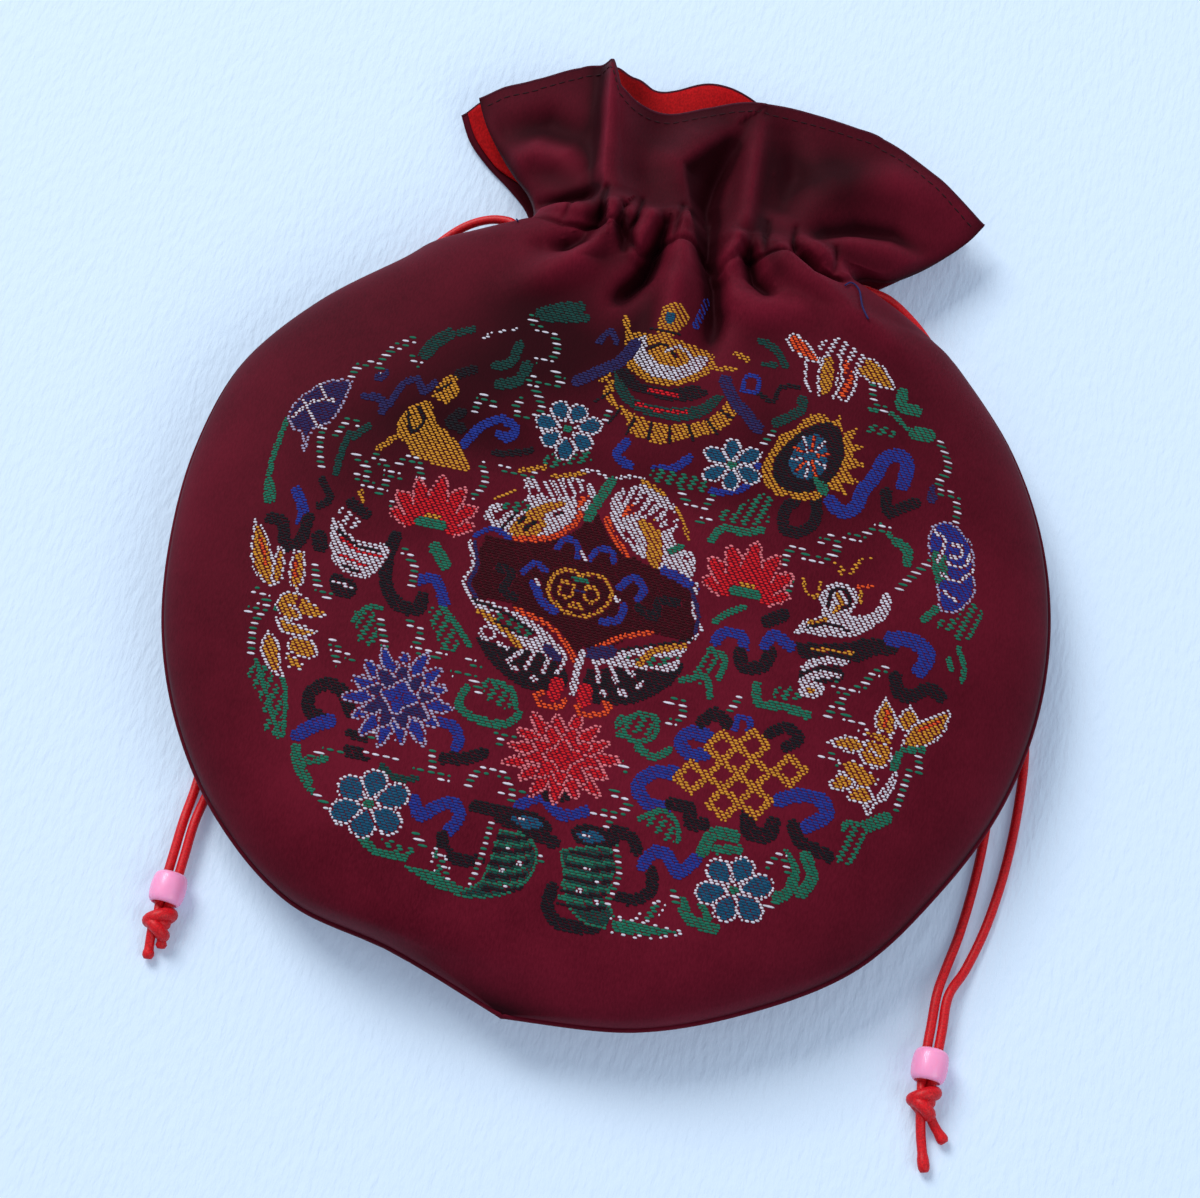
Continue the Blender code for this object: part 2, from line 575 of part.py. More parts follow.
def sheets():
    """The two panels of satin and their linings, each on rows that suit it."""
    satin = material("maroon_satin", SATIN, 0.45)
    red_cloth = material("red_lining_cloth", RED_CLOTH, 0.6)
    shoulder = [BODY_ROWS - 1, BODY_ROWS - 0.5, BODY_ROWS, BODY_ROWS + 0.5]
    neck = list(NECK_LOW + np.array((-1, -0.3, 0.4, 1, 1.6, 2.2, 3, 3.7, 4.4)))
    collar = list(NECK_LOW + np.array((5, 5.6, 6.3, 7.1, 8))) + [HEM]
    front_rows = shoulder + neck + collar
    back_rows = shoulder[::2] + neck[:4:2] + neck[4:] + collar[::2] + [HEM]
    satin_body = list(np.linspace(0, BODY_ROWS - 2, SATIN_BODY_ROWS))
    lining_body = [LINING_START] + list(range(2, BODY_ROWS - 1))
    front_satin = row_places(FRONT, satin_body + front_rows + [LAST], FRONT_COLUMNS, 0)
    back_satin = row_places(BACK, satin_body + back_rows + [LAST], BACK_COLUMNS, 0)
    front_red = row_places(FRONT, lining_body + front_rows, FRONT_COLUMNS, LINING_INSET)
    back_red = row_places(BACK, lining_body + back_rows, BACK_COLUMNS, COLLAR_LINING_INSET)
    cloth_sheet("outer_front", outer_front, front_satin, satin)
    cloth_sheet("outer_back", outer_back, back_satin, satin)
    cloth_sheet("lining_front", lining_front, front_red, red_cloth)
    cloth_sheet("lining_back", lining_back, back_red, red_cloth)


def drawcords():
    """Both drawcords, with their beads and knots."""
    red_cord = material("red_satin_cord", RED_CORD, 0.4)
    pink = material("pink_plastic", PINK, 0.3)
    side_parts(1, "left", LEFT_TRACK, LEFT_STRANDS, LEFT_BEAD, LEFT_TAILS, red_cord, pink)
    side_parts(-1, "right", RIGHT_TRACK, RIGHT_STRANDS, RIGHT_BEAD, RIGHT_TAILS, red_cord, pink)


FRONT = edge_rows(FRONT_ROWS)
BACK = edge_rows(BACK_ROWS)
LAST = len(FRONT) - 1
HEM = LAST - 0.13
for old in list(bpy.data.objects):
    bpy.data.objects.remove(old, do_unlink=True)
sheets()
drawcords()
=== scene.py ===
"""Looks of the mala bag: a round drawstring pouch of maroon brocade satin, lying on its back.

Lengths are millimetres until a mesh is finished; MM turns them into metres. The frame is the
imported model's own: +Y to the mouth, +Z up, origin under the middle of the round body.
"""
import math
import random

import bmesh
import bpy
import numpy as np
from mathutils import Matrix, Vector
from mathutils.bvhtree import BVHTree


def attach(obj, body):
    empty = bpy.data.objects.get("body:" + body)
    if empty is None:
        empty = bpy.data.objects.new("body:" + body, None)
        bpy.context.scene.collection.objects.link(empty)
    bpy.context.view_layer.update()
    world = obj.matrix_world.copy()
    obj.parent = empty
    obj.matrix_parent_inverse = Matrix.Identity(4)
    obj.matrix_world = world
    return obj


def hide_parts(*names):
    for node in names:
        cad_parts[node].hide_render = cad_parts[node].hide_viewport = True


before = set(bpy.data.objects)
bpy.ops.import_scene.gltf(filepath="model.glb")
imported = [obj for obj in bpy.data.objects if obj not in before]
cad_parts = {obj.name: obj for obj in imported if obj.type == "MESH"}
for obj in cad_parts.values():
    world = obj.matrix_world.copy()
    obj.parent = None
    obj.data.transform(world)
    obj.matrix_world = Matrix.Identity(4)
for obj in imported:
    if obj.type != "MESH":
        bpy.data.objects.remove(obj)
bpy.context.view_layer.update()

MM = 0.001

# Cloth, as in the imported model
OUTER_CLOTH = 0.6
LINING_CLOTH = 0.5
LAYER_GAP = 0.3
LINING_GAP = 0.45
BODY_LINING_SLACK = 0.6
STEEP_LIMIT = 2.0
BODY_RADIUS = 102.0
BODY_HEIGHT = 30.5
SEAM_HEIGHT = 12.5
FLAT_SHARE = 0.42
LINING_INSET = 4.2
COLLAR_LINING_INSET = 1.2
SHOULDER_ANGLE = 137.0
OUTLINE_BUMPS = ((161.0, 3.2, 13.0), (131.0, -2.0, 5.0), (254.0, -5.8, 11.0), (311.0, 2.0, 8.0))
NECK_Y = 93.0
CASING_HALF = 4.0
CASING_FADE = 3.6
CASING_LINING_EDGE = 35.2
BACK_GATHERS = 7
BACK_GATHER_DEPTH = 2.0
BODY_ROWS = 10

# Drawcords, beads and knots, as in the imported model
CORD = 2.2
HALF_CORD = CORD / 2
UNDER_Z = HALF_CORD + 0.02
CORD_GAP = 0.3
TRACK_PITCH = 2.6
EXIT_X = 41.1
TURN_X = 35.9
CORD_ARCH = 5.2
EXIT_Z = 9.0
BACK_CORD_Z = BACK_GATHER_DEPTH + OUTER_CLOTH + LAYER_GAP + HALF_CORD
BEAD_OUTER = 8.2
BEAD_LENGTH = 7.2
BEAD_BORE = 5.3
BEAD_AXIS = BEAD_OUTER / 2 + 0.05
BEAD_RUN = 16.5
STRAND_SPREAD = 1.27
STRAND_Z = BEAD_AXIS - 0.6
KNOT_LENGTH = 7.2
KNOT_CORD = 1.5            # radius of the doubled cord, pressed flat inside the knot
KNOT_WRAPS = ((0.8, 28, 2.6), (-1.7, -34, 2.2), (-0.4, 4, 1.3))  # height, lean in degrees, reach
KNOT_FLATNESS = 0.78       # height of a wrap as a share of its reach
TAIL_SHAPE = ((0, 0.72, 0.82, 0.94, 1.0), (1.1, 1.1, 1.35, 1.35, 0.9))  # share of a tail, radius there
LEFT_BEAD = (-80.8, -88.2)
RIGHT_BEAD = (93.4, -89.2)

# Fineness of the meshes
FRONT_GRID = (230, 190)
BACK_GRID = (120, 120)
HOLLOW_REACH = 40          # rounds of smoothing that tell a fold's valley from its ridge
EDGE_POINTS = 260
SEAM_STEP = 1.2

# Light and shade painted into the cloth's colour, as a depth in millimetres
GROUND_PAINTED_SHEEN = 0.6          # painted sheen: how much brighter the brocade's ground is painted than the plain satin
GROUND_MIDDLE = (4, -46)   # where it is brightest
GROUND_REACH = (25, 88)    # distances from there at which it starts and ends to fade
COLLAR_PAINTED_SHADE = 0.8          # painted shade: how much darker the gathered collar is painted, as it lies dull to the light
COLLAR_START = (NECK_Y - 2, NECK_Y + 6)
COLLAR_LIT = (28, 52)      # x at which the collar starts and ends to turn to the light
COLLAR_LIT_SHARE = 0.7

# Spacing of the patterns in millimetres: 10 / 26 stands for 26 threads to the centimetre. Real
# threads are finer, and these are drawn as coarse as they need to be to show in the render.
SATIN_WEAVE = (10 / 26, 10 / 9, 10 / 9)
SATIN_CLOUD = 38.46
LINING_WEAVE = (10 / 24, 10 / 15, 10 / 15)
CORD_WRAP = 10 / 26
THREAD_TUFT = 10 / 9
TOWEL_PILE = (10 / 6.2, 10 / 2.1, 1000)

# Rows above the shoulders: left edge x, y, right edge x, y, front seam z, back seam z, crown z,
# and the share of the rim's own waves that the row takes. Here and in the rims, folds and shades
# below, y counts from NECK_Y.
FRONT_ROWS = (
    (-63, -13.5, 63.5, -13, 11.6, 11.6, 25.6, 0.0),
    (-56, -9.4, 56, -7.8, 10.8, 8.6, 25.4, 0.0),
    (-47.5, -5, 48, -3.7, 10.6, 2.2, 24.8, 0.0),
    (-41.5, -2.4, 42.5, -1.8, 10.8, 1, 24.2, 0.0),
    (-40, 0, 41, 0, 10.8, 0.8, 23.8, 0.0),
    (-40.4, 2.8, 43, 1.6, 11, 0.8, 22.4, 0.02),
    (-43, 6.8, 49, 2.6, 11, 0.6, 19.8, 0.12),
    (-47.6, 11.4, 55, 7, 10.6, 0.6, 17.2, 0.3),
    (-52.8, 17.6, 60.8, 13, 10, 0.7, 15.6, 0.52),
    (-57.9, 24.8, 65.6, 19, 9.6, 0.9, 14.8, 0.78),
    (-61.5, 32, 68.6, 24.6, 9, 1.2, 14, 1.0),
)
BACK_ROWS = FRONT_ROWS[:5] + (
    (-41.4, 4, 42, 3, 0, 0.9, 0, 0.02),
    (-44.4, 9, 46.5, 6.6, 0, 0.7, 0, 0.12),
    (-50, 14, 52, 11.2, 0, 0.7, 0, 0.3),
    (-56.2, 18.6, 57, 16, 0, 0.9, 0, 0.52),
    (-62.2, 24.2, 61.4, 21, 0, 1.6, 0, 0.78),
    (-66, 30.6, 63.6, 26, 0, 2.4, 0, 1.0),
)
# Rims of the two panels, from left to right
FRONT_RIM = ((-61.5, 32), (-55.5, 35.5), (-48.5, 38.6), (-38, 44), (-33, 45.6), (-30.2, 45),
             (-28.4, 41.6), (-26.6, 37.4), (-22, 34.9), (-13, 35.3), (-5, 38.8), (5, 43),
             (13.5, 44), (22, 43.5), (32, 42.2), (40, 40.4), (55.6, 32.6), (68.6, 24.6))
BACK_RIM = ((-66, 30.6), (-62.5, 35.2), (-54, 40.4), (-42, 47.4), (-34, 52.2), (-30.6, 53.2),
            (-27, 51.9), (-24, 51.5), (-20, 49.7), (-15.5, 50.2), (-8, 52.8), (-2.4, 53.2),
            (2.4, 52.6), (6.5, 51.2), (23, 48.2), (38, 45), (52, 37), (63.6, 26))
# Folds of the front panel: points x, y with a height, and the widths on the left and the right
FOLDS = (
    (((-29.2, 44.5, 6), (-27.7, 33.5, 7), (-26, 23, 7), (-24.4, 13.4, 6.5), (-22.8, 6.6, 5.5),
      (-21.5, 2, 3.5)), 2.2, 8),
    (((3, 35, 1.2), (-2.8, 27.2, 3.6), (-7.6, 19.3, 5), (-6, 14, 4.6), (-2.8, 6.6, 3)), 8, 2.4),
    (((9.5, 38, 1), (10.2, 28, 2.6), (10.9, 18, 3.2), (11.7, 7, 3), (12, 1, 2)), 3.2, 2.2),
    (((3.5, 29, -2), (1.5, 19, -5), (1.2, 11, -5.4), (3.4, 2.4, -6), (5, -7, -7), (8, -13.5, -6.8),
      (10.2, -22, -6), (11, -33, -1)), 3, 3),
    (((-39.5, -1, 1.4), (-33.3, -0.8, 2.8), (-27, -1, 2.8), (-24, 1.2, 2)), 2.6, 2.6),
    (((-38, 3, -1.6), (-33.4, 3.6, -3.2), (-28.3, 5.2, -3), (-25.2, 7, -2)), 2, 2),
    (((-33, -13, -1.6), (-28.5, -11.4, -4.8), (-25, -9, -5), (-23.2, -5, -3.6)), 3.4, 3.4),
    (((-38, -26, 0.5), (-30.5, -21.3, 2.6), (-25.1, -16.6, 4), (-22.1, -11.2, 4), (-20, -6, 3.6),
      (-18.2, -1, 2.6)), 4.4, 2.8),
    (((-11, -11, 2), (-11, -6, 3), (-10, 0, 2.6)), 2.4, 2.4),
    (((-6.5, 0, -4), (-7.4, -9, -6.4), (-8.5, -16, -6.6), (-11.5, -21.5, -5), (-14, -27, 0)), 2.4, 2.6),
    (((-1.7, 0, 2), (0, -12, 4), (-0.3, -18, 4.4), (0, -25, 3.6), (0.6, -33, 2.4), (3, -43, 0)), 4, 4),
    (((9, -10, 2), (10.8, -6, 2.8), (12, -1, 2.6)), 2.2, 2.2),
    (((11.8, -13, 1.2), (14, -18, 2.6), (20, -20.4, 3), (28, -18, 1.6)), 4, 4),
    (((12.8, 2, -2), (14.8, -4.5, -6), (17, -10, -6), (20.8, -13.4, -3.4), (24, -15.4, 0)), 2.4, 2.4),
    (((20, -1, 2), (23.5, -4, 3.4), (29.5, -7.3, 3.6), (40.9, -14, 2.6), (55, -21.4, 0.5)), 4, 4),
    (((25.5, 0.5, -2.4), (27.4, -1.4, -4.6), (31.7, -4.6, -4.4), (36.5, -5.2, -2)), 2, 2),
    (((27, 4, 1.6), (32, 0.6, 3), (38, -1.4, 2)), 2.4, 2.4),
    (((28.6, 6, -1.6), (31.6, 9, -3), (38.1, 12.4, -3.2), (46.7, 14, -2.4),
      (54.2, 11.8, -0.8)), 2.8, 2.8),
    (((29, 4, 1.2), (37, 7, 2.8), (47, 8.2, 2.5), (56, 8.6, 1.2)), 4, 4),
    (((-50, 14, 1), (-43, 17, 2.8), (-36, 16, 2.8), (-30, 12, 1.2)), 4, 4),
    (((-52, 24, -1), (-42, 27, -2.4), (-33, 24, -1.4)), 5, 5),
    (((60, 27, 1), (45, 28, 2.6), (32, 22, 2.6), (24, 11, 1)), 7, 7),
    (((17, 36, -1), (20, 25, -3), (19, 15, -2)), 4.4, 4.4),
    (((-62, -67, -0.3), (-24, -69, -0.9), (18, -71, -0.8), (52, -68, -0.2)), 6, 6),
)
# Finer folds that only this model shows: the creased stitch lines of the casing and its pleat tips
FINE_FOLDS = (
    (((-39.5, -3.2, -0.6), (-31, -5.8, -1.3), (-24, -4.8, -1.2), (-17, -3.4, -1.2),
      (-10.8, -11, -1.6), (-5.8, -5.4, -1.3), (2, -5.2, -1.3), (9, -10.4, -1.6),
      (12.6, -4.4, -1.2), (18.2, -4.2, -1.3), (22, -2.4, -1.2), (27, -0.6, -1.2), (32, -3.4, -1.4),
      (38, -4.8, -1), (40.5, -3, -0.3)), 0.9, 0.9),
    (((-17.4, 1.5, -2.4), (-17.2, -5, -3), (-15.4, -8, -2.4), (-14, -12, 0)), 1.3, 1.3),
    (((-22.5, 6, -1.6), (-22, -1, -2.6), (-21.8, -5, -1)), 1.1, 1.1),
    (((-13.6, 6, -0.8), (-13.4, -1, -1.8), (-14.2, -6, -0.8)), 0.9, 0.9),
    (((-3.6, 6, -0.8), (-3.4, -1, -1.6), (-3.6, -7, -0.6)), 0.9, 0.9),
    (((17.2, 8, -0.8), (17.6, 2, -1.6), (18.4, -3, -0.6)), 1, 1),
    (((24, 8, -0.8), (24.2, 3, -1.6), (25, -1, -0.8)), 0.9, 0.9),
    (((34.5, 4.5, -0.8), (35, 1, -1.4), (35.5, -2.5, -0.6)), 0.8, 0.8),
    (((-30, 3, -0.6), (-30.4, -1, -1.2), (-31, -4.6, -0.4)), 0.8, 0.8),
)
# Shade painted into the satin's colour between the folds: points with a depth of shade, and their widths
SHADES = (
    (((8, 40, 0.2), (2, 33, 0.9), (0.5, 26, 1.8), (0, 16, 2.4), (2, 6, 2.6), (4, -2, 1.8),
      (6, -10, 0.6)), 5, 4),
    (((18, 26, 0.5), (26, 26, 1.2), (34, 24, 1.3), (42, 20, 0.6)), 8, 8),
    (((-38, 8, 0.4), (-30, 6, 1.2), (-24, 3, 1.6), (-20, -6, 1.4)), 3.5, 3.5),
    (((16, 8, 0.8), (18, 0, 1.4), (22, -8, 1.2)), 2.6, 2.6),
    (((-16, -3, 1.6), (-13, -9, 1.2), (-11, -14, 0.6)), 2.6, 2.6),
    (((-10, -28, 1.3), (-24, -41, 1.9), (-42, -57, 1.8), (-60, -76, 1.4), (-68, -92, 0.4)), 18, 16),
    (((-4, -52, 0.5), (14, -60, 0.9), (30, -53, 1.2), (46, -52, 0.4)), 14, 14),
)
# Shade painted into the back lining's colour at the left of the mouth, given as the shades are
LINING_SHADE = (((-28, 52, 0.9), (-24, 46, 0.9), (-20, 42, 0.5)), 5, 5)

# Free strands of the cords: points from beside the neck to above the bead, in the model's frame
LEFT_STRANDS = (
    ((-46, 93.6, 8.4), (-51.5, 93.4, 7.4), (-57.6, 90.3, 6), (-63.6, 84, 4), (-69, 74.6, 2),
     (-74.2, 58, 1.1), (-78.4, 38, 1.1), (-81.4, 14, 1.1), (-83, -12, 1.1), (-83.2, -36, 1.1),
     (-82.4, -54, 1.1), (-82.1, -63, 1.5)),
    ((-46, 90.4, 3.9), (-51.5, 87.4, 3.2), (-57, 82, 2.2), (-63, 74, 1.3), (-69, 60, 1.1),
     (-74, 40, 1.1), (-77.4, 15, 1.1), (-79.2, -12, 1.1), (-79.4, -36, 1.1), (-78.6, -54, 1.1),
     (-79, -63, 1.5)),
)
RIGHT_STRANDS = (
    ((45, 94.2, 8.6), (49.4, 93.6, 7.6), (54.3, 91.2, 6.2), (60, 87, 4.4), (66, 80.2, 2.4),
     (73, 67, 1.1), (82, 48, 1.1), (90, 28, 1.1), (97, 7, 1.1), (101.4, -9, 1.1),
     (102.6, -24, 1.1), (102.2, -40, 1.1), (100.4, -54, 1.1), (97.6, -65, 1.6)),
    ((45.5, 93, 3.8), (50, 91, 3.1), (54.5, 87, 2.5), (59, 81, 1.8), (64, 73, 1.2), (70, 62, 1.1),
     (78, 44, 1.1), (85.6, 24, 1.1), (91.6, 4, 1.1), (95.2, -14, 1.1), (96.2, -30, 1.1),
     (96, -44, 1.1), (94.8, -57, 1.1), (93.2, -66, 1.8)),
)

# Cut ends of the cords past each knot: points counted from the knot's centre
LEFT_TAILS = (((1.2, -0.8, 0), (1.5, -3.4, -1.2), (1.7, -5.4, -2.1)),
              ((-1.2, -0.8, 0), (-1, -4.4, -1.4), (-0.5, -8.4, -2.1)))
RIGHT_TAILS = (((0.8, -1, 0), (3.2, -4.4, -1.4), (6.4, -7.8, -2.1)),
               ((-0.4, -1, 0), (1, -7.4, -1.7), (3.2, -15, -2.1)))

# Brocade roundel, drawn flat: x and y in millimetres from the middle of the body. Threads are
# W white, G gold, O orange, R red, E green, D dark green, T teal, B blue, N navy, K black,
# P pale pink, M dark maroon, L lilac, and V a vine whose picks are white and green in turn.
# A small letter leaves out every other pick, and a full stop clears the place of thread.
# Lines: thread, width, then points along the line
RIBBONS = (
    # dark and blue ribbons that tie the emblems
    ("N", 1.8, -59, 30, -57, 36, -54, 38, -52, 35, -50, 38), ("N", 2.2, -65, 31, -61, 31, -60, 28),
    ("B", 2.4, -39.5, 24, -37, 29, -33, 32.2, -29, 31, -29.6, 28, -32, 28.6),
    ("K", 1.8, -32, 23.5, -28, 24.5, -24, 26), ("K", 2.6, -42, 32, -44, 29, -41, 28),
    ("K", 2.4, -45, 41.5, -42, 43.5), ("N", 1.6, -15, 57, -13, 60.5, -11, 58),
    ("B", 2.4, -3, 33, -4.4, 29.5, -1, 27.4), ("B", 2.2, 5, 28, 9, 29, 12, 32.4),
    ("B", 1.8, 19, 25.4, 23, 26.2, 26.4, 28.4, 26, 31.4, 28, 34), ("B", 2, 6.4, 66.5, 7.4, 73),
    ("B", 3.4, 46, 29, 49, 27, 52, 29, 52.6, 33, 55, 38, 56, 42, 59, 44, 61.6, 42, 61.4, 37),
    ("K", 2.8, 42.4, 29, 43.6, 24, 41, 20, 37, 20, 36.4, 25, 38, 27),
    ("K", 1.3, 24, 52.6, 28, 51, 29, 55, 33, 56),
    ("B", 1.2, 20.6, 52, 20.6, 56, 23.6, 56, 23.8, 52.6, 20.6, 52),
    ("K", 2.8, 58, 34, 59.4, 29.4, 62, 31, 65, 33), ("N", 2.4, 68.6, 35, 68.6, 37.4),
    ("N", 2.4, -63, 36.4, -62, 38), ("K", 2, -69, 8, -66, 4, -68, 1.6),
    ("B", 2.6, -74, 4, -71.4, 0, -71, -3), ("K", 2.6, -61, 4, -57, 2),
    ("K", 3, -78, -4, -75, -4.4, -73, -9.4, -70, -8, -69.6, -2), ("K", 3.6, -66, -6, -65, -8),
    ("K", 3.2, -49, -2, -49.4, -8, -48, -14, -44, -18, -39.6, -18, -39.4, -15),
    ("B", 2.6, -41, -11, -38, -10, -36, -12, -34, -15.4),
    ("K", 3.2, -48, -45, -51, -41, -55, -40, -58, -43, -57, -47, -54, -48),
    ("B", 3.4, -58, -53, -55, -50, -52, -48.4), ("K", 2.2, -47, -50, -43.4, -50.6),
    ("K", 3, -46, -54, -42, -54), ("B", 2.6, -28, -43, -25, -43.4, -23, -46, -23.2, -48),
    ("K", 3, -25, -51, -20.4, -50, -17, -48),
    ("B", 3, -29, -62, -27, -65, -24, -62.4, -21, -60.6, -18.6, -63, -20, -67),
    ("K", 2.8, -21, -68.4, -20, -71.4, -16, -73, -12, -72), ("K", 3.2, -15.6, -60.4, -12, -60, -9, -60.4),
    ("B", 2.6, -6.4, -58, -2, -55, 3, -58, 8, -56), ("K", 2.4, -1, -54.4, 3, -53.6),
    ("K", 3, 5, -74.6, 5, -79, 9, -82, 16, -81), ("K", 2.8, 25, -66, 26, -70, 23, -73, 19, -73),
    ("K", 2.8, 15, -59, 19, -59.4, 21, -62), ("B", 3, 23, -65, 25, -61.4, 28, -62, 31, -65, 34, -61),
    ("B", 3.2, 25.4, -43, 20.4, -44, 18, -48, 21, -51, 25, -51),
    ("B", 3.2, 30.6, -33, 26.4, -33, 25, -36, 28, -38, 31, -37),
    ("B", 1.6, 36, -30, 36.4, -27, 39, -27.4, 39, -29.6), ("K", 3, 28.6, -30, 31, -27.4, 34, -29),
    ("K", 2.6, 43.6, -29.4, 47, -27, 50.4, -29, 48, -31.4),
    ("B", 3.4, 49, -44, 53, -41.8, 58, -42, 59.6, -45, 56, -48.4),
    ("K", 3.6, 43, -49, 44, -52.4, 48, -52.4, 48.6, -49.4), ("K", 3, 53, -49, 55, -52, 58, -53, 62, -54),
    ("K", 3, 26, -50, 30, -50, 31, -53.4, 34, -53), ("B", 2.6, 27.6, -10.4, 29, -8, 33, -8, 34, -11),
    ("K", 3.2, 33.4, -12, 35, -15, 39, -14, 40, -10.4), ("K", 3.2, 38, -3, 41, -1),
    ("B", 2.8, 38.6, -9, 40, -6, 44, -8), ("K", 4, 60, -4.4, 66, -3),
    ("B", 3.8, 66, -1, 71, -0.6, 74.4, -3, 73.6, -7),
    ("K", 3.2, 68.4, -10, 70, -13.4, 73, -13.4, 76, -11, 79, -12), ("K", 2.8, -2.6, -63.6, 3, -64.4),
    # leaves
    ("D", 3, -30, 61.4, -25.4, 64, -21.4, 65), ("D", 2.6, -29, 60.6, -24, 61.6, -19.6, 62.6),
    ("D", 3.4, -54, 45, -52.4, 48.4, -50, 51), ("D", 2, -47.6, 52, -44.8, 53.6),
    ("D", 3, -35, 41, -31, 43, -30, 47), ("D", 2.6, -37, 45.6, -34, 47, -33, 52),
    ("D", 1.8, -66, 21, -66.6, 15, -66.4, 10.4), ("D", 2, -65, 20, -62.4, 23.6),
    ("E", 1.5, -81, 21, -81.6, 12, -81, 4, -80, 0), ("E", 2.6, -80.6, 4.4, -79.4, 1),
    ("e", 3.4, -19, 24.4, -15, 26.4, -11.4, 27.2), ("e", 4, 6, 26.4, 10.4, 26.6, 16, 26.4),
    ("e", 5, 28, 22, 31, 25), ("E", 2, 21.4, 13.4, 23.4, 17, 28, 17, 32, 18.4),
    ("e", 3, 23, 20, 28, 20.4, 32, 21.4), ("E", 3, 57, 60, 57.6, 56.6, 61, 56),
    ("E", 1.2, 50.4, 54, 55, 54.4, 60, 51), ("E", 3.4, 62, 50.4, 65, 50.6),
    ("e", 2.8, 51.6, 49.4, 56, 49.2), ("D", 2.6, 30, 46, 34.6, 50, 34.6, 53),
    ("D", 2, 22, 66, 26, 64.4, 29, 61), ("D", 1.6, 24, 60, 26.6, 60.4),
    ("E", 2.4, 62.6, 22.6, 65.4, 21, 66, 18), ("E", 1.6, 61, 23.4, 58.6, 26), ("e", 5, 82.4, 9, 81, 4),
    ("e", 3, 76.6, 4.8, 81, 5.4), ("E", 2, 72, 5, 74.4, 8.4), ("e", 4.6, -51, -22, -49, -27),
    ("E", 1.4, -53, -24, -51, -20.4, -47.6, -19.6), ("e", 4.4, -35, -18, -30.6, -24.6),
    ("E", 1.4, -34, -16.6, -30, -20, -26, -24), ("E", 3, -39.6, -2.6, -36.4, -6),
    ("e", 5, -70.4, -41, -66, -46, -63.6, -52), ("E", 1.2, -71.8, -38, -67, -46, -62, -54.4),
    ("E", 1.2, -66, -39, -63, -45, -61.2, -54),
    ("E", 2, -24.4, -34, -25, -38.4, -20, -40.6, -14, -40.4, -11.4, -37.4),
    ("e", 4.6, -19.6, -33, -15.4, -34.6), ("E", 1.4, -19, -31, -14.6, -32, -12.4, -36),
    ("E", 2, -38, -72.8, -34, -75.2, -28, -75), ("e", 2, -33, -72.6, -27, -73.6),
    ("E", 2.4, -57.6, -56, -56, -60, -53, -63), ("E", 2.2, -54.6, -58.6, -51, -57),
    ("E", 1.4, -53, -64, -48, -67), ("e", 4.6, 12, -34, 17, -33.6),
    ("E", 1.3, 10.4, -35, 14, -31.4, 18.4, -31.4, 19, -35.4, 16, -37.6, 11, -36.8),
    ("E", 1.8, 16, -39, 20, -40.4, 23, -38), ("e", 3.4, 25.4, -20, 27.4, -15),
    ("E", 1.6, 22, -21.4, 27, -19.4, 29, -23.6), ("E", 1.6, 26.6, -12.8, 30.4, -14, 30, -19),
    ("E", 2.2, 38.6, -18.8, 40, -22.8, 45.6, -22.4, 51, -23.2), ("e", 3, 44, -19.6, 48, -18.6),
    ("E", 1.6, 26.4, -6, 28.4, -3.6, 32, -1), ("e", 3.6, 22.6, -54.4, 27.4, -57),
    ("E", 1.2, 20, -55, 24, -52, 28, -54, 29.4, -58), ("E", 3, 35, -59, 36.6, -54.6, 41, -54.4),
    ("E", 2.2, 38, -58, 42.6, -57), ("E", 2.6, 52.6, -56, 55.4, -59.4, 55, -64, 53, -65.4),
    ("E", 2.8, 57, -55, 59.4, -59.4, 57.8, -63.6), ("E", 2.6, 33, -71.4, 35.6, -74.6, 41, -75.4),
    ("E", 1.8, 37, -70.4, 39.4, -73.4), ("E", 3, 64.6, -46.6, 68, -46, 72.4, -42.8),
    ("e", 4.6, 66.6, -48, 65.4, -53), ("E", 1.4, 81, 0, 83, -4, 83, -7.4),
    ("E", 1.4, 79.4, -3, 80.4, -5.4), ("E", 2, 72.6, -27.6, 72, -31),
    ("D", 1.6, -38, -56, -34, -58, -30, -57), ("E", 1.8, -69, -21, -70.6, -25),
    # scrolling vines with white and green picks
    ("V", 2, -69.4, 35, -68.4, 38, -65.4, 40, -63, 38.6), ("V", 2.2, -63.4, 41.6, -61.4, 44.6, -58, 47.6),
    ("V", 1.8, -57, 43, -54.8, 42), ("w", 1.2, -43, 51, -39, 54, -35, 56),
    ("V", 2, -32, 59.6, -29, 57, -26, 56.6, -24, 53, -25, 50, -28, 49.4),
    ("V", 2, -23.4, 47.4, -21, 45, -23.6, 43.4, -28.6, 43.8, -26, 41, -24, 37, -26, 34, -30, 35,
     -29.4, 38),
    ("V", 1.8, -39, 33, -38.4, 37, -35, 35.6), ("V", 1.8, -8.4, 40, -9, 37.4),
    ("V", 1.8, -72.4, 22, -71.8, 16, -70, 11), ("V", 1.8, -69, 20, -67, 24.4, -64.6, 24),
    ("V", 2, -63.4, 16, -59.6, 13, -59.4, 9.6), ("V", 2, -58.6, 16.6, -54.6, 14, -52, 12.6),
    ("V", 2, -53, 16, -50, 18.2, -47.4, 15, -46.6, 10.6),
    ("V", 2, -61.6, 11, -58, 9.4, -55, 8.4, -54.6, 12), ("V", 1.8, -34, 20, -32.4, 16, -34, 12),
    ("V", 1.4, -52, 6, -50.4, 3, -48, 2.4), ("V", 1.8, -29.6, 20.6, -26, 19.6, -22, 20.4),
    ("V", 1.8, 12, 24, 14, 21.4, 18, 21, 19.4, 24), ("V", 1.8, 28, 40, 29.6, 43),
    ("V", 1.8, 17.6, 17.4, 19.6, 18.4), ("V", 1.8, 50, 60, 51, 56.4, 54, 54.8),
    ("V", 2, 68, 49, 70, 46, 71, 42, 69.4, 40, 70, 37), ("V", 2, 71, 37.4, 74, 36.4, 75, 31),
    ("V", 2, 51.4, 21, 54, 21.4, 57, 24.6, 60, 25.4), ("V", 2, 65.4, 11, 67, 14, 70, 18, 72.4, 20.4),
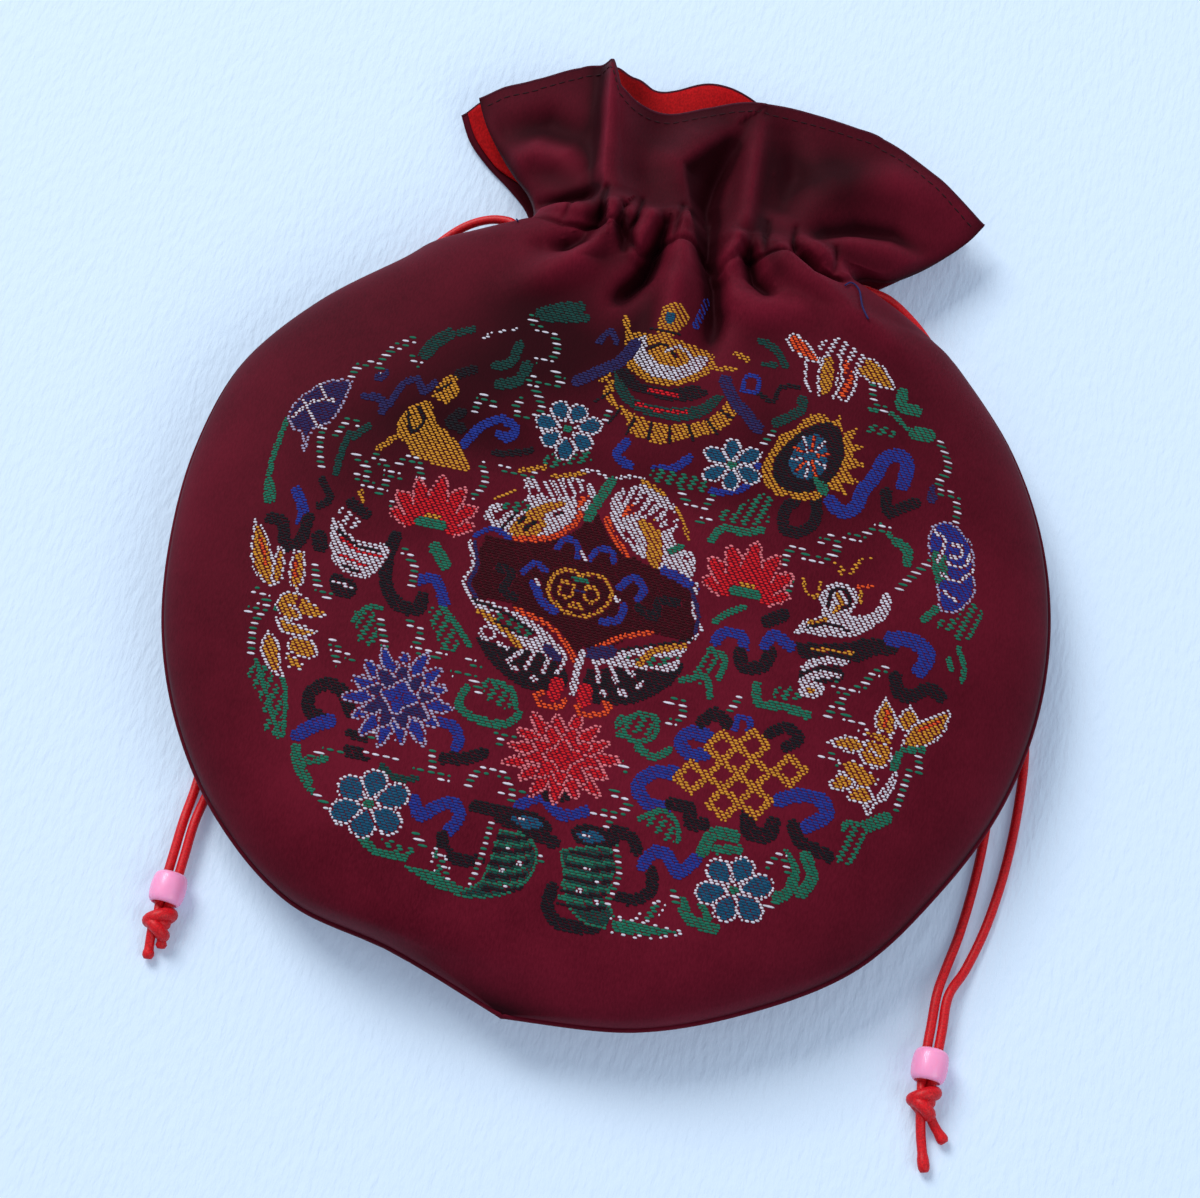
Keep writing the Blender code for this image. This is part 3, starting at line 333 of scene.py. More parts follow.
    ("V", 2, 38.6, 11, 39.4, 15, 42, 16, 44, 13.6, 48, 15, 50, 18, 48, 20, 46, 19),
    ("V", 1.8, 41, 8, 41, 4), ("V", 1.8, 30, 1.6, 37, 2.4), ("V", 2, -46, -5, -43, -8, -42.4, -13),
    ("V", 2, -47, -23, -44.6, -28), ("V", 2, -40.6, -21.6, -37, -24, -38, -27, -33, -28, -31, -26.4),
    ("V", 2, -56.4, -30, -54, -34.6), ("V", 1.6, -55, -31, -50.4, -33.6),
    ("V", 1.8, -26, -27, -23, -28.6), ("V", 2, -28, -31, -24, -31, -21.4, -34),
    ("V", 2, -76.4, -22, -73, -24, -74.6, -30, -73.4, -37), ("V", 2, -65, -13, -63, -18, -60, -19.4),
    ("V", 1.8, -77, -27, -75, -25.6),
    ("V", 2, -18.4, -55.6, -17, -52.4, -13, -51.2, -10, -53.4, -8.4, -57),
    ("V", 1.6, -11, -56, -5.6, -54.6), ("V", 1.8, -28, -50, -27, -54),
    ("V", 1.8, -30.6, -54.6, -23.4, -55.4), ("V", 1.8, -43, -46, -42, -50),
    ("V", 1.8, -42, -53.4, -35.6, -53.4), ("V", 1.8, -15, -42.6, -11.4, -43),
    ("V", 1.8, -14, -45.4, -14, -42.6), ("V", 1.6, -54, -57.4, -51, -55.2, -47.4, -55),
    ("V", 1.6, -50.4, -65.4, -46, -68.6), ("V", 1.8, -27, -69.4, -24.6, -71.4),
    ("V", 1.8, 34, -26, 35.4, -23), ("V", 2, 20, -27, 23, -26, 24, -30, 21.4, -32),
    ("V", 1.8, 12, -43, 14.6, -44.4), ("V", 2, 12.6, -50.6, 17, -52, 15, -55, 10, -56),
    ("V", 1.8, 13.4, -58, 14.4, -55.6), ("V", 2, 55, -14, 58, -16, 62, -13.4, 63, -11, 66, -8.4),
    ("V", 2, 55.4, -22.4, 57.6, -19, 60, -22, 64, -22.4), ("V", 1.8, 58, -16, 58, -20),
    ("V", 1.8, 55.6, -32, 59, -31.4, 61, -34), ("V", 2, 76.4, -24.6, 77.6, -31),
    ("V", 1.8, 75.6, -31, 74.4, -40), ("V", 1.8, 30.6, -69.6, 32, -71.6),
    ("V", 1.6, 49.6, -59, 51.6, -55.6, 54, -59.6), ("V", 1.6, 51, -68, 53, -67),
    ("V", 1.6, 0, -68, 1.4, -69),
)
# Filled shapes: fill, outline (or none), then points round the edge
SHAPES = (
    # left and right lotus and peony
    ("N", "L", -69, 34, -74, 33, -79, 28, -81, 23, -79.4, 19.6, -76.6, 18.6, -75.2, 14, -74.6, 20,
     -71, 23, -69.4, 29),
    ("B", "L", 70, 28, 73, 30, 77, 28, 80, 24, 81, 18.6, 82, 14, 79.4, 9, 75.4, 8.6, 74, 13, 72.4, 18,
     70, 23),
    ("E", "", 71, 22, 74, 22, 75.4, 17, 73.4, 14.6, 71.6, 18),
    # banner of victory
    ("G", "", -50, 34.6, -48.6, 39, -46, 41, -43.8, 37.4, -46, 33.4),
    ("G", "", -56, 26, -54, 31, -50, 33, -47.6, 29, -46, 24, -51, 21, -54.6, 22.6),
    ("G", "", -49, 28, -45, 27, -40.6, 24, -37.6, 20.4, -36.8, 17.6, -41, 17.4, -47, 18, -52, 20.4),
    # parasol
    ("G", "", -2.4, 69.4, 0.6, 71.6, 4.4, 69, 3.4, 65, 0.4, 61.4, -2.4, 63),
    ("T", "", -1, 68.4, 1, 68.4, 1, 66, -1, 66),
    ("G", "", -9, 60, -8.4, 53.6, -2, 49.6, 5, 49.8, 11.4, 54, 12.6, 59, 8, 61, 0, 62, -6, 62),
    ("W", "", -7, 60, -6, 54.6, -1, 51.4, 5, 51.4, 10, 55.4, 11, 58.6, 8, 58.4, 5.4, 55.4, 1, 54.6,
     -3, 57, -4.4, 61),
    ("K", "", -10, 50.6, -6, 47, 1, 46, 8, 46.4, 13, 49.6, 9, 51, 4, 48.8, -3, 48.8, -7, 52),
    ("G", "", -14, 46, -10, 50, -11, 44, -5, 39.4, -2, 35.4, 5, 34.6, 10, 37, 17, 40.4, 20.4, 45.6,
     18, 49, 14, 43, 6, 40, -2, 40.4, -8, 43.4, -9, 48),
    ("D", "", -10, 51, -8, 45, -2, 41.4, 6, 40.8, 13, 43.4, 16.6, 49.4, 14.6, 49.8, 11, 46, 4, 44,
     -3, 44.4, -7, 48),
    # lotus above the wheel
    ("O", "W", 27.8, 68, 30, 69.4, 34, 66.6, 37, 63.4, 33.6, 63.6, 30, 65.4),
    ("G", "", 36.6, 64, 39, 65.4, 40.6, 61, 40.2, 56, 38, 55.4, 36.8, 59),
    ("G", "W", 44.4, 64.4, 46, 67, 50.6, 66, 54, 62.4, 54.6, 60.6, 51, 60.8, 47, 62.2),
    ("o", "w", 41, 66, 44, 65, 45.6, 60, 44.6, 55.4, 42, 57),
    # wheel in flames
    ("G", "", 30.6, 40, 29, 35, 30, 30.6, 34, 27.6, 36.4, 28.6, 38, 27.4, 43, 28.8, 45.6, 32, 49.8, 31.4,
     47.6, 34, 51.6, 35, 48.4, 37.6, 52.2, 39.6, 48.6, 41.4, 51, 44.4, 48, 44.8, 48.6, 49, 45.6, 47,
     44, 51, 42.6, 49.4, 39, 50.6, 36, 48.4, 34.6, 45.4, 31.4, 43),
    ("K", "", 31.4, 37, 32, 32, 35.6, 29.6, 41, 30.4, 45.4, 35, 46.8, 41, 45, 46.8, 41.6, 48.6, 37, 46,
     33.6, 41.6),
    ("T", "", 34.6, 36.4, 36.6, 33.6, 40, 33.4, 43, 36, 43, 41, 41, 44.6, 38, 44.4, 35.6, 41),
    ("E", "", 40.4, 34.6, 44.4, 33, 45, 30.6, 43, 30.6),
    # vase
    ("W", "", -64.6, 0, -62, -1.6, -57, -4.6, -50, -4.6, -50, -9.4, -53, -13.4, -57.4, -13.2,
     -61.6, -10.8, -63.4, -6),
    ("K", "", -61, -13.8, -56, -14.4, -54, -17, -56, -19.2, -60, -18),
    # gold lotus on the left
    ("G", "W", -81.2, -5, -78, -8.4, -74.6, -14, -73.2, -20, -77.6, -17.4, -80.2, -12.4),
    ("G", "W", -70.6, -10.6, -68.4, -10.6, -66.8, -16, -67.6, -19.4, -70, -16.6),
    ("G", "W", -74.4, -10, -72.6, -12, -71.6, -18, -73.6, -18.4),
    ("G", "W", -71, -24, -68, -27, -64.6, -25.8, -64, -22.6, -66.6, -20.4, -70, -21),
    ("G", "w", -66, -20.6, -63.6, -21.8, -59.4, -23.6, -62, -25.4, -66, -24.6),
    ("G", "W", -70, -27, -65, -28, -60.4, -28.4, -62.6, -30, -68, -30),
    ("G", "W", -65.6, -31, -61, -31, -59, -33.6, -61.4, -35, -65.4, -34),
    ("G", "W", -71, -31, -68, -33.4, -66.4, -38, -65, -40.6, -68.4, -39, -71.4, -35),
    ("G", "w", -65.6, -35, -62, -36, -61.6, -38, -64.6, -37.6),
    # gold lotus on the right
    ("G", "W", 67.4, -15.4, 70, -18.6, 70.4, -23.4, 66.8, -22.6, 66, -19),
    ("G", "W", 73, -16, 75.4, -19, 73, -21.8, 71, -19.6),
    ("G", "W", 82, -15, 78, -17.6, 74.4, -20.4, 73, -25.6, 77.6, -24.4, 81, -20.6),
    ("G", "W", 64, -28, 65, -31, 69, -31.6, 71, -29, 70, -26, 66.4, -25),
    ("G", "W", 56.8, -28.4, 61, -26, 65, -27.2, 62.4, -29.4),
    ("G", "w", 63, -24, 68, -23.6, 71.6, -25.4, 68, -26),
    ("G", "w", 60, -32, 64, -31.6, 69, -34.4, 66.4, -37, 62, -35),
    ("G", "W", 58.6, -38, 61, -35, 64.4, -36.4, 61.4, -38.6),
    ("G", "W", 64, -37.6, 67, -36.6, 69, -39, 67, -40.4, 63.6, -40),
    ("w", "W", 67, -40.4, 71.6, -38.4, 73, -33, 72, -33, 69.4, -40, 68.6, -43),
    # conch
    ("W", "", 44, -4.6, 46, -1, 49.4, 1, 48, 5, 50, 9, 54.4, 9.6, 57, 6.4, 56, 2.4, 61, 5, 62, 9.4, 64, 9,
     64, 4, 60, -0.6, 56, -3, 50, -4),
    ("K", "", 45, -6.6, 52, -5.4, 60, -3, 64, -3.6, 60, -8, 52, -9.4, 47, -10),
    ("K", "", 47, -13.6, 49, -11.4, 56, -10.4, 57, -13, 53, -15, 48.6, -17),
    ("W", "", 47, -12.4, 50, -9.4, 56, -8, 57.8, -9.6, 52, -10.6, 48.4, -13),
    ("W", "", 47, -15.8, 50, -12.8, 55, -11.6, 56.6, -12.8, 52, -14, 48.4, -16.4),
    ("W", "", 48.2, -16.4, 51, -15, 53.6, -15.6, 53, -18, 50, -19.4, 48, -18.4),
    ("G", "", 49.6, -16.6, 51.6, -16.6, 51, -18, 49.8, -18),
    # fishes
    ("K", "", -10, -60, -6, -58.4, 0, -59.6, 2, -62, -1, -64, -7, -63.6, -11, -62.4),
    ("T", "", -8, -61, -3, -59.8, 0, -61.4, -4, -62.8),
    ("D", "E", -9, -64.4, -3, -64.4, 0, -68, -0.6, -73.6, -4, -77.6, -9, -79.8, -15, -80.6, -10.6, -77,
     -9.4, -71),
    ("e", "w", -22.6, -71.6, -20, -72, -17, -78, -20, -78.4),
    ("E", "", -13, -79, -20, -77, -27.4, -76.6, -24, -78.6, -17, -80.6),
    ("K", "", 5.6, -61, 8, -59, 13, -59, 17, -60.6, 14.4, -63.6, 8, -63.4),
    ("T", "", 7, -61.4, 11, -60, 14, -61.4, 10, -62.8),
    ("D", "E", 5, -66, 9, -64.4, 15.4, -63.4, 18, -68, 17, -74, 20, -79.4, 14, -80.4, 9, -77, 7, -71),
    ("E", "w", 19, -78, 26, -77.6, 34.4, -77.8, 28, -80.4, 20, -81),
    ("e", "w", 24, -77.4, 26, -74, 29.4, -71.8, 28, -76.4),
    # ground of the roundel
    ("M", "", -29, 3, -20, 4, -10, 8, -6, 14, -2, 10, 6, 5, 14, 3, 20, 0, 22, -6, 22, -12, 12, -12,
     0, -20, -8, -17, -20, -12, -28, -12, -30, -5),
    # butterflies
    ("W", "", -31, 8, -29, 11.4, -24, 12, -22, 16, -24, 19, -19, 19.6, -12, 21.6, -7, 19.6, -8, 13,
     -13, 8, -17, 5, -22, 4, -27, 4.4),
    ("W", "", 19, 7.6, 16, 9, 12.6, 12.4, 13.6, 17, 9, 22, 3, 23.4, -2.6, 20, -2.4, 14, 1, 10, 6, 6,
     12, 3.6, 19, 2),
    ("G", "", -24.6, 5, -22, 10, -17, 14, -13, 15, -16, 9, -17.4, 6, -21, 4.4),
    ("G", "", 8, 5, 7, 10, 4, 14, 8, 15.4, 11, 9, 11, 4), ("o", "", -10, 14, -8, 18, -11, 18),
    ("o", "", 0, 14, 1, 18, 4, 17), (".", "", -29, 9, -26.4, 9.4, -27.4, 7),
    (".", "", -22, 16.6, -18, 17.8, -20.6, 15), (".", "", 11, 15, 13, 17.6, 10, 18.4),
    (".", "", 16, 7.6, 17.4, 8, 16.6, 6),
    ("K", "", -25.4, -21.4, -20, -22.4, -13, -22, -5, -23.6, -2.6, -28, -6, -31.4, -14, -30.4,
     -21, -26.4),
    ("K", "", 1, -23.4, 8, -21.6, 15, -20.6, 21.6, -17, 20, -23, 13, -29, 5, -31, 1, -28.6),
    ("W", "", -30, -11.8, -24, -12.6, -17, -14, -10, -16.8, -4, -21.8, -9, -22.4, -17, -21, -24, -17.4),
    ("W", "", 24, -9, 20, -12.6, 12, -15.6, 6, -18, 1, -21.6, 6, -21.6, 12, -20.8, 20, -19.6, 21, -15.4),
    ("e", "", -24, -14.6, -16, -16, -12, -18.6, -18, -18.6),
    ("e", "", 8, -18.6, 15, -17.4, 20.4, -16.4, 15, -19.6),
)
# Lines laid over the shapes, given as the ribbons are
DETAILS = (
    ("W", 0.9, -80, 22, -76.4, 27, -71.6, 28.4), ("W", 0.9, -79, 27, -75.6, 23, -72.6, 20.6),
    ("W", 0.9, -76, 31.6, -73.4, 28), ("W", 0.9, 70.6, 27, 73.4, 25, 72.6, 20),
    ("W", 0.9, 75, 24.6, 77.4, 24.6, 77.4, 22, 75.4, 21.8), ("W", 0.9, 74, 17, 78, 16, 81, 19.6),
    ("W", 0.9, 75, 13, 79, 11), ("W", 0.9, 74.6, 20, 78.6, 19.6, 79.6, 23),
    ("K", 0.7, -54, 29, -52, 24.6, -50, 28, -52, 31), ("K", 0.6, -49, 36, -46.4, 38.6),
    ("G", 1.6, -58.4, 18.6, -55, 23), ("G", 1.6, -10.4, 65, -8.6, 60.6), ("G", 1.4, -25, 20.6, -20, 22.6),
    ("K", 0.8, -3, 58, 0, 60, 3.4, 57.4), ("W", 1, 1, 58.4, 4, 60, 7, 58), ("K", 0.6, -4, 63.4, 3, 63.4),
    ("R", 0.9, -3, 43.4, 3, 42.8, 9, 43.8), ("R", 0.9, -1, 47.6, 6, 47.4),
    *(("K", 0.7, x, y, x + dx, y + dy)
      for x, y, dx, dy in ((-9.6, 44.6, -3, -3), (-6.4, 41, -1.6, -4), (-2.4, 39.6, -1, -4.4),
                           (1.6, 39.4, 0.2, -4.6), (6, 39.4, 0.8, -4), (10, 40.8, 2, -3.6),
                           (14, 43, 3, -3), (16.6, 46, 3.6, -1.6))),
    ("W", 0.9, 37.4, 66, 37, 60, 38.4, 55), ("W", 0.9, 41.4, 65, 42.6, 60, 41.6, 55.4),
    ("w", 4.4, 37.6, 67.4, 41, 68.6, 45, 66.4), ("W", 0.9, 33.6, 62.8, 34.4, 58, 36, 55.4),
    ("W", 0.9, 45.6, 63, 45.8, 58, 44.6, 55),
    *(("W" if k % 2 else "O", 0.8, 39.2, 39,
       39.2 + 4.2 * math.cos(k * math.pi / 5 + 0.3), 39 + 5.4 * math.sin(k * math.pi / 5 + 0.3))
      for k in range(10)),
    ("T", 2, 38.6, 39, 39.6, 39.2), ("R", 0.7, -61, -5, -56, -7.4, -51, -7.4),
    ("K", 0.7, -62, -3.4, -57, -6, -51.6, -6), ("R", 0.7, -60, -9, -54, -10.6),
    ("K", 0.6, -59, -11.4, -55, -12.4), ("W", 0.8, -60, -15.6, -55.4, -16.4),
    ("G", 1.4, -59.6, 7, -58.6, 5), ("w", 3, -62, 1, -59, -1), ("W", 0.8, -68, -23.4, -66, -24.4),
    ("O", 0.8, -79, -9, -76, -15), ("O", 0.8, -69.6, -12.6, -68.8, -16.6), ("O", 1, 76, -21, 80, -18),
    ("O", 0.8, 68.4, -18, 68.2, -21.6), ("W", 0.8, 66, -28, 68.4, -29),
    ("E", 1.6, 73.4, -26.4, 77.6, -25.4), ("K", 0.8, 50.6, 3.6, 50.8, 7.6, 54, 7.8, 55.2, 4.8, 53, 3.4),
    ("G", 1, 52, 7, 53.4, 4.6, 52, 2.6), ("G", 0.9, 57, 8.6, 57.4, 6),
    ("K", 0.7, 47, -2.4, 52, -0.6, 56, -1.4), ("G", 0.9, 47, -1.4, 51, 0.4),
    ("O", 0.8, 56, 9.6, 59.6, 10.6), ("G", 0.8, 43.6, 9, 45, 6, 47.4, 5, 47.8, 9),
    ("g", 1.6, 50.4, 14, 53, 12, 55, 15, 57.4, 17), ("G", 0.8, 49, -7.4, 58, -6.4),
    ("W", 0.7, -5.6, -61, -4.6, -61), ("W", 0.7, 9, -61.2, 10, -61.2),
    *(("E" if k % 2 else "K", 0.8, -9.6, -66 - 1.5 * k, -5, -65.4 - 1.5 * k, -1.4, -64 - 1.5 * k)
      for k in range(9)),
    *(("E" if k % 2 else "K", 0.8, 7, -65.6 - 1.5 * k, 12, -65.6 - 1.5 * k, 17, -64.4 - 1.5 * k)
      for k in range(9)),
    *(("W", 0.9, x, y, x + 0.7, y)
      for x, y in ((-6.4, -68), (-3.6, -70.6), (-7, -73), (-5, -76.4),
                   (11, -68.6), (14, -71), (10.4, -73.6), (14.6, -75.4))),
    ("V", 1.4, -11.4, -63, -11.6, -70, -12.4, -77), ("V", 1.4, 16.4, -62.6, 18.4, -68, 17.6, -75),
    ("V", 1.2, -20.6, -72.4, -17.4, -77.6), ("O", 1.6, -22.4, 3.6, -15, 5.6, -10.4, 9.6, -9, 13.4),
    ("O", 1.6, -3, 13.4, -1, 9.6, 3.6, 5.6), ("W", 3.2, -15.6, 10.6, -12.6, 13),
    ("K", 0.5, -15, 11.4, -13, 12.6), ("K", 1.2, -20.6, 6.6, -19, 8.6), ("K", 1, -22.4, 8, -21.4, 9.4),
    ("K", 0.6, -26, 5.4, -23, 11),
    *((".", 0.7, -21 + 2.2 * k, 19.6 + 0.3 * k, -17 + 1.6 * k, 15.4 + 0.5 * k) for k in range(6)),
    *((".", 0.7, 0.4 + 2.1 * k, 23.4 - 1.2 * k, -0.4 + 1.7 * k, 18.6 - 0.9 * k) for k in range(7)),
    (".", 0.8, 2, 11, 4.6, 8.6), (".", 0.8, 6, 16, 9, 13.6), ("W", 0.9, -14, 22, -9, 24.4, -4.6, 23),
    ("W", 0.9, -3, 23.6, 1, 25, 6, 23.6), ("W", 1, -23, 17, -21, 18.4, -20, 16.6),
    ("G", 1.2, -17.6, 20.8, -10.4, 23.2), ("G", 1.2, 3, 24.4, 9, 22), ("G", 1, 12, 19.4, 16.6, 12.4),
    ("G", 1, -29, 12.6, -25.4, 15.4), ("E", 2.6, -4, 22.6, -6, 17, -7.2, 12.6),
    ("E", 1.6, 15, 10.4, 13, 8.6), ("e", 2.4, -26, 11, -22, 12),
    ("W", 1, 15.6, 9, 18.4, 8.8, 18.4, 6.4, 16, 6.8), ("B", 1.3, -31.4, 2.4, -28, 5, -23.6, 3.6),
    ("B", 2.2, 12.6, 3.6, 17, 2.4, 20.4, 0.6), ("W", 1.1, -32.4, 1, -30, -4.6, -31.2, -9, -28, -13),
    ("N", 1, -31, 0.6, -29, -4.6, -30, -9, -27.4, -12.4), ("W", 1.1, 20.4, 2, 21, -4, 24, -8.6),
    ("N", 1, 19.4, 0.6, 22.4, -5, 22.6, -9.4), ("O", 1.3, -18, -13, -10, -15.2, -5, -18.8, -2, -22.4),
    ("O", 1.3, 13, -11.6, 6, -14.8, 0.4, -19.4), ("G", 1.4, -26, -15.4, -20, -18, -15, -21.8),
    ("G", 1.6, 21, -13, 14.6, -16, 12, -19.8), ("N", 2, -9, -20.6, -6, -22.6),
    ("N", 3, 1, -19.6, 5, -18.4), ("K", 0.7, -28, -13, -20, -14.6, -13, -17.6),
    ("K", 0.6, -22, -16.8, -15, -19), ("K", 0.7, 22, -11.6, 14, -14.6, 7, -17.4),
    ("W", 1, -24.4, -19.4, -22.4, -18.4, -21, -20.4, -23, -21.6, -24.4, -20.4),
    ("W", 0.9, -20, -22, -17.6, -22.6), ("W", 1.3, -16.6, -25.4, -14.4, -22.6),
    ("W", 1.2, -12.6, -26.4, -11.6, -22.8), ("W", 1.2, -8.6, -26.6, -8, -23),
    ("W", 1.2, -5.4, -26, -4.4, -22.6), ("W", 1.4, -15.4, -26.8, -14.4, -27.2),
    ("W", 1.3, -10.6, -28, -9.8, -28.6), ("W", 1.3, 4, -25.6, 3, -22.4), ("W", 1.2, 8, -25, 6, -22),
    ("W", 1.2, 11.4, -22.6, 9, -21.2), ("W", 1.3, 13, -25, 13.6, -24.2),
    ("W", 1.6, 9.4, -27, 10.4, -27.6), ("W", 1.2, 5.4, -28, 6, -28.6),
    ("W", 1.8, -1, -19.6, -1.2, -25, -1, -29.6), ("R", 3.4, -4.8, -28.6, -5, -31),
    ("O", 1.4, -7.4, -31, -9, -32.6, -7, -34, -3, -33.6, -2.4, -32), ("R", 3.4, 1.6, -28.6, 2, -31),
    ("O", 1.4, 0.6, -32.4, 2, -34, 6, -33.4, 8, -31.4, 6.4, -30.6),
    ("G", 1.1, -11.6, -3, -9, -1, -5.6, -1.6, -2, -0.8, 1.6, -3, 2, -7, -1, -10.6, -5, -11.6, -9.4, -10,
     -12, -6.6, -11.6, -3),
    ("G", 0.9, -9.4, -4, -9.4, -7, -7, -7.4, -6.6, -4.6, -9.4, -4),
    ("G", 0.9, -3.6, -4, -1, -4.6, -1, -7.4, -3.6, -7, -3.6, -4),
    ("G", 0.9, -5.6, -8.4, -3.4, -9.6, -6.6, -9.6), ("E", 1.2, -7, -2.6, -4, -3),
    ("N", 1, -6, -5.6, -4, -5.6), ("B", 1.5, -18.6, -4, -16.6, -1.2, -13.6, -2.4),
    ("B", 2, -15.6, -6, -12.6, -10, -9.4, -11.6), ("B", 2, 3.6, -2.6, 6, 0.4, 9, -1.6, 8.4, -4.4),
    ("B", 2, 5.6, -7, 5, -10.4, 1.6, -11.6), ("B", 1.5, -12.4, 3.6, -11, 6.4, -8, 5.4, -7.4, 2.4),
    ("B", 1.5, -4.6, 2.4, -3, 5.6, 0, 5.4, 1, 3), ("W", 1.2, -6.6, 3.6, -5.4, 2.4),
    ("W", 1.3, -15, -5.4, -14.4, -5.8), ("W", 1.3, 3.4, -5.4, 4.2, -6),
    ("K", 2.2, -24, -4, -21, -5, -22, -9, -19, -10.4), ("K", 2.2, 8.6, -6.4, 13, -8, 13, -4, 17, -3.4),
    ("N", 3, -17.6, 46, -13, 49.8, -9, 53.2, -6.6, 58.4), ("N", 3, 16, 54, 19, 49.4, 23, 46.2, 26, 43.4),
    ("G", 1.4, 17, 61.4, 20, 60.4), ("G", 1.2, 13, 56.4, 18, 57.4),
)
# Flowers: fill, outline, middle, number of petals, first angle, inner and outer radius, petal width,
# and for some the height of the flower as a share of its width
FLOWERS = (
    ("T", "W", -17, 33.4, 7, 20, 1.8, 7.4, 4), ("T", "W", 22, 33, 6, 40, 0.6, 7, 3.6),
    ("T", "W", -38.6, -65, 6, 30, 1, 8.4, 5.4), ("T", "W", 43.4, -66, 6, 20, 1, 8, 5),
    ("B", "L", -38.6, -39.6, 15, 0, 2, 11.8, 3.6), ("N", "L", -38.6, -39.6, 9, 15, 1, 8, 4),
    ("B", "L", -38.4, -39.2, 4, 0, 0, 4.2, 3.6), ("R", "P", 0, -45, 15, 10, 2, 12.4, 3.6, 0.85),
    ("R", "P", 0, -44.8, 9, 0, 1, 8.2, 4, 0.85), ("R", "P", 0.4, -44.6, 4, 12, 0, 4.4, 3.6, 0.85),
)
# Endless knot: the open squares of its lattice, counted along its two strands, with its middle and steps
KNOT_SQUARES = ((-1, 0), (0, 1), (0, 0), (1, 0), (0, -1), (1, -1), (1, -2), (2, -1), (2.12, 1.2),
                (-1, -2.05))
KNOT_MIDDLE = (38.2, -36.9)
KNOT_STEPS = ((4.05, -2.25), (2.5, 4.1))
KNOT_STRAND = 1.7
# Loose threads: points along each
LOOSE_THREADS = ((38.5, 84.5, 40, 85.5, 42, 84, 43.5, 80, 45.6, 77), (-41, 84, -42.4, 86, -41, 87.6))
# Lotuses seen from the side: fill, outline, middle of the cup, reach
LOTUSES = (("R", "P", -42, 2.6, 11.6), ("R", "P", 31.6, 2, 12))

# Brocading threads of the roundel: a colour for every letter of its drawing
THREADS = {"W": ("white", "DAD6E2"), "G": ("gold", "D4922E"), "O": ("orange", "EC5526"),
           "R": ("red", "D61E28"), "E": ("green", "1F6D56"), "D": ("dark_green", "163F3A"),
           "T": ("teal", "17506E"), "B": ("blue", "24358A"), "N": ("navy", "2A2756"),
           "K": ("black", "17151B"), "P": ("pale_pink", "E27882"), "M": ("dark_maroon", "34060F"),
           "L": ("lilac", "A9A4C4")}
OPEN_THREADS = "WGORPLgw"  # threads whose ground shows between the floats
MEDALLION_Z = 26.0         # height of the plane that the roundel is drawn on, as seen from the camera
CHART_STEP = 0.25
ROW_PITCH = 0.6
OUTLINE = 0.72
BLUNT_TIP = 0.8            # width of a petal near its tip, as a share of its widest
POINTED_TIP = 0.55
PETAL_UNEVENNESS = 0.08
FLOAT_PITCH = 1.3
FLOAT_GAP = 0.36
SHORTEST_FLOAT = 0.3
FLOAT_WIDTH = 0.62
FLOAT_RISE = 0.3
FLOAT_LIFT = 0.04          # of a float's middle above the satin
FLOAT_OVERLAP = 0.1
CLOSE_WIDTH = 0.7          # of the threads that hide their ground
STAGGER = 0.37             # share of a float's pitch by which every row is shifted
VINE_PITCH = 2.3
VINE_GAP = 0.6
VINE_LONGEST = 2.9
VINE_STAGGER = 0.3
LOOSE_RADIUS = 0.22
LOOSE_LIFT = 0.5

# Sewing
HEM_DEPTH = 2.8            # of the stitches below the rim
HEM_MARKS = 1200
HEM_DEPTH_MARKS = 60
STITCH = 2.4
STITCH_SHARE = 0.74        # of a stitch's pitch that shows as thread
STITCH_WIDTH = 0.42
STITCH_RISE = 0.3
STITCH_LIFT = 0.05
SEAM_RADIUS = 0.75
RIM_RADIUS = 0.45
CHART_X, CHART_Y = np.meshgrid(np.arange(-86, 86, CHART_STEP), np.arange(76, -86, -ROW_PITCH))

# View of the photograph
CAMERA_LIFT = 68.0         # degrees above the table
CAMERA_TURN = 13.0         # the pouch is turned this much from upright in the picture
CAMERA_DISTANCE = 620.0
CAMERA_LENS = 80.0
FILM_WIDTH = 36.0
PICTURE = (1200, 1198)
LOOK_AT = Vector((0, 0, 10))
LOOK_AT_PIXEL = (606, 600)


def camera_axes():
    """Right, up and back directions of the camera."""
    lift, turn = math.radians(CAMERA_LIFT), math.radians(CAMERA_TURN)
    up_table = Vector((-math.sin(turn), math.cos(turn), 0))
    back = -math.cos(lift) * up_table + Vector((0, 0, math.sin(lift)))
    right = Vector((math.cos(turn), math.sin(turn), 0))
    return right, back.cross(right), back


def camera_place():
    """Where the camera stands, in millimetres."""
    right, up, back = camera_axes()
    focal = CAMERA_LENS / FILM_WIDTH * PICTURE[0]
    aside = (LOOK_AT_PIXEL[0] - PICTURE[0] / 2) * CAMERA_DISTANCE / focal
    above = (LOOK_AT_PIXEL[1] - PICTURE[1] / 2) * CAMERA_DISTANCE / focal
    return LOOK_AT + back * CAMERA_DISTANCE - right * aside + up * above


def smoothstep(low, high, value):
    """0 below low, 1 above high, smooth between."""
    share = np.clip((value - low) / (high - low), 0, 1)
    return share * share * (3 - 2 * share)


def spline(points, where):
    """Smooth curve through rows of numbers, read at positions counted in rows."""
    points = np.asarray(points, float)
    last = len(points) - 1
    where = np.clip(np.asarray(where, float), 0, last)
    cell = np.minimum(where.astype(int), last - 1)
    t = (where - cell)[..., None]
    p0 = points[np.maximum(cell - 1, 0)]
    p1 = points[cell]
    p2 = points[cell + 1]
    p3 = points[np.minimum(cell + 2, last)]
    return p1 + 0.5 * t * (p2 - p0 + t * (2 * p0 - 5 * p1 + 4 * p2 - p3 + t * (3 * (p1 - p2) + p3 - p0)))


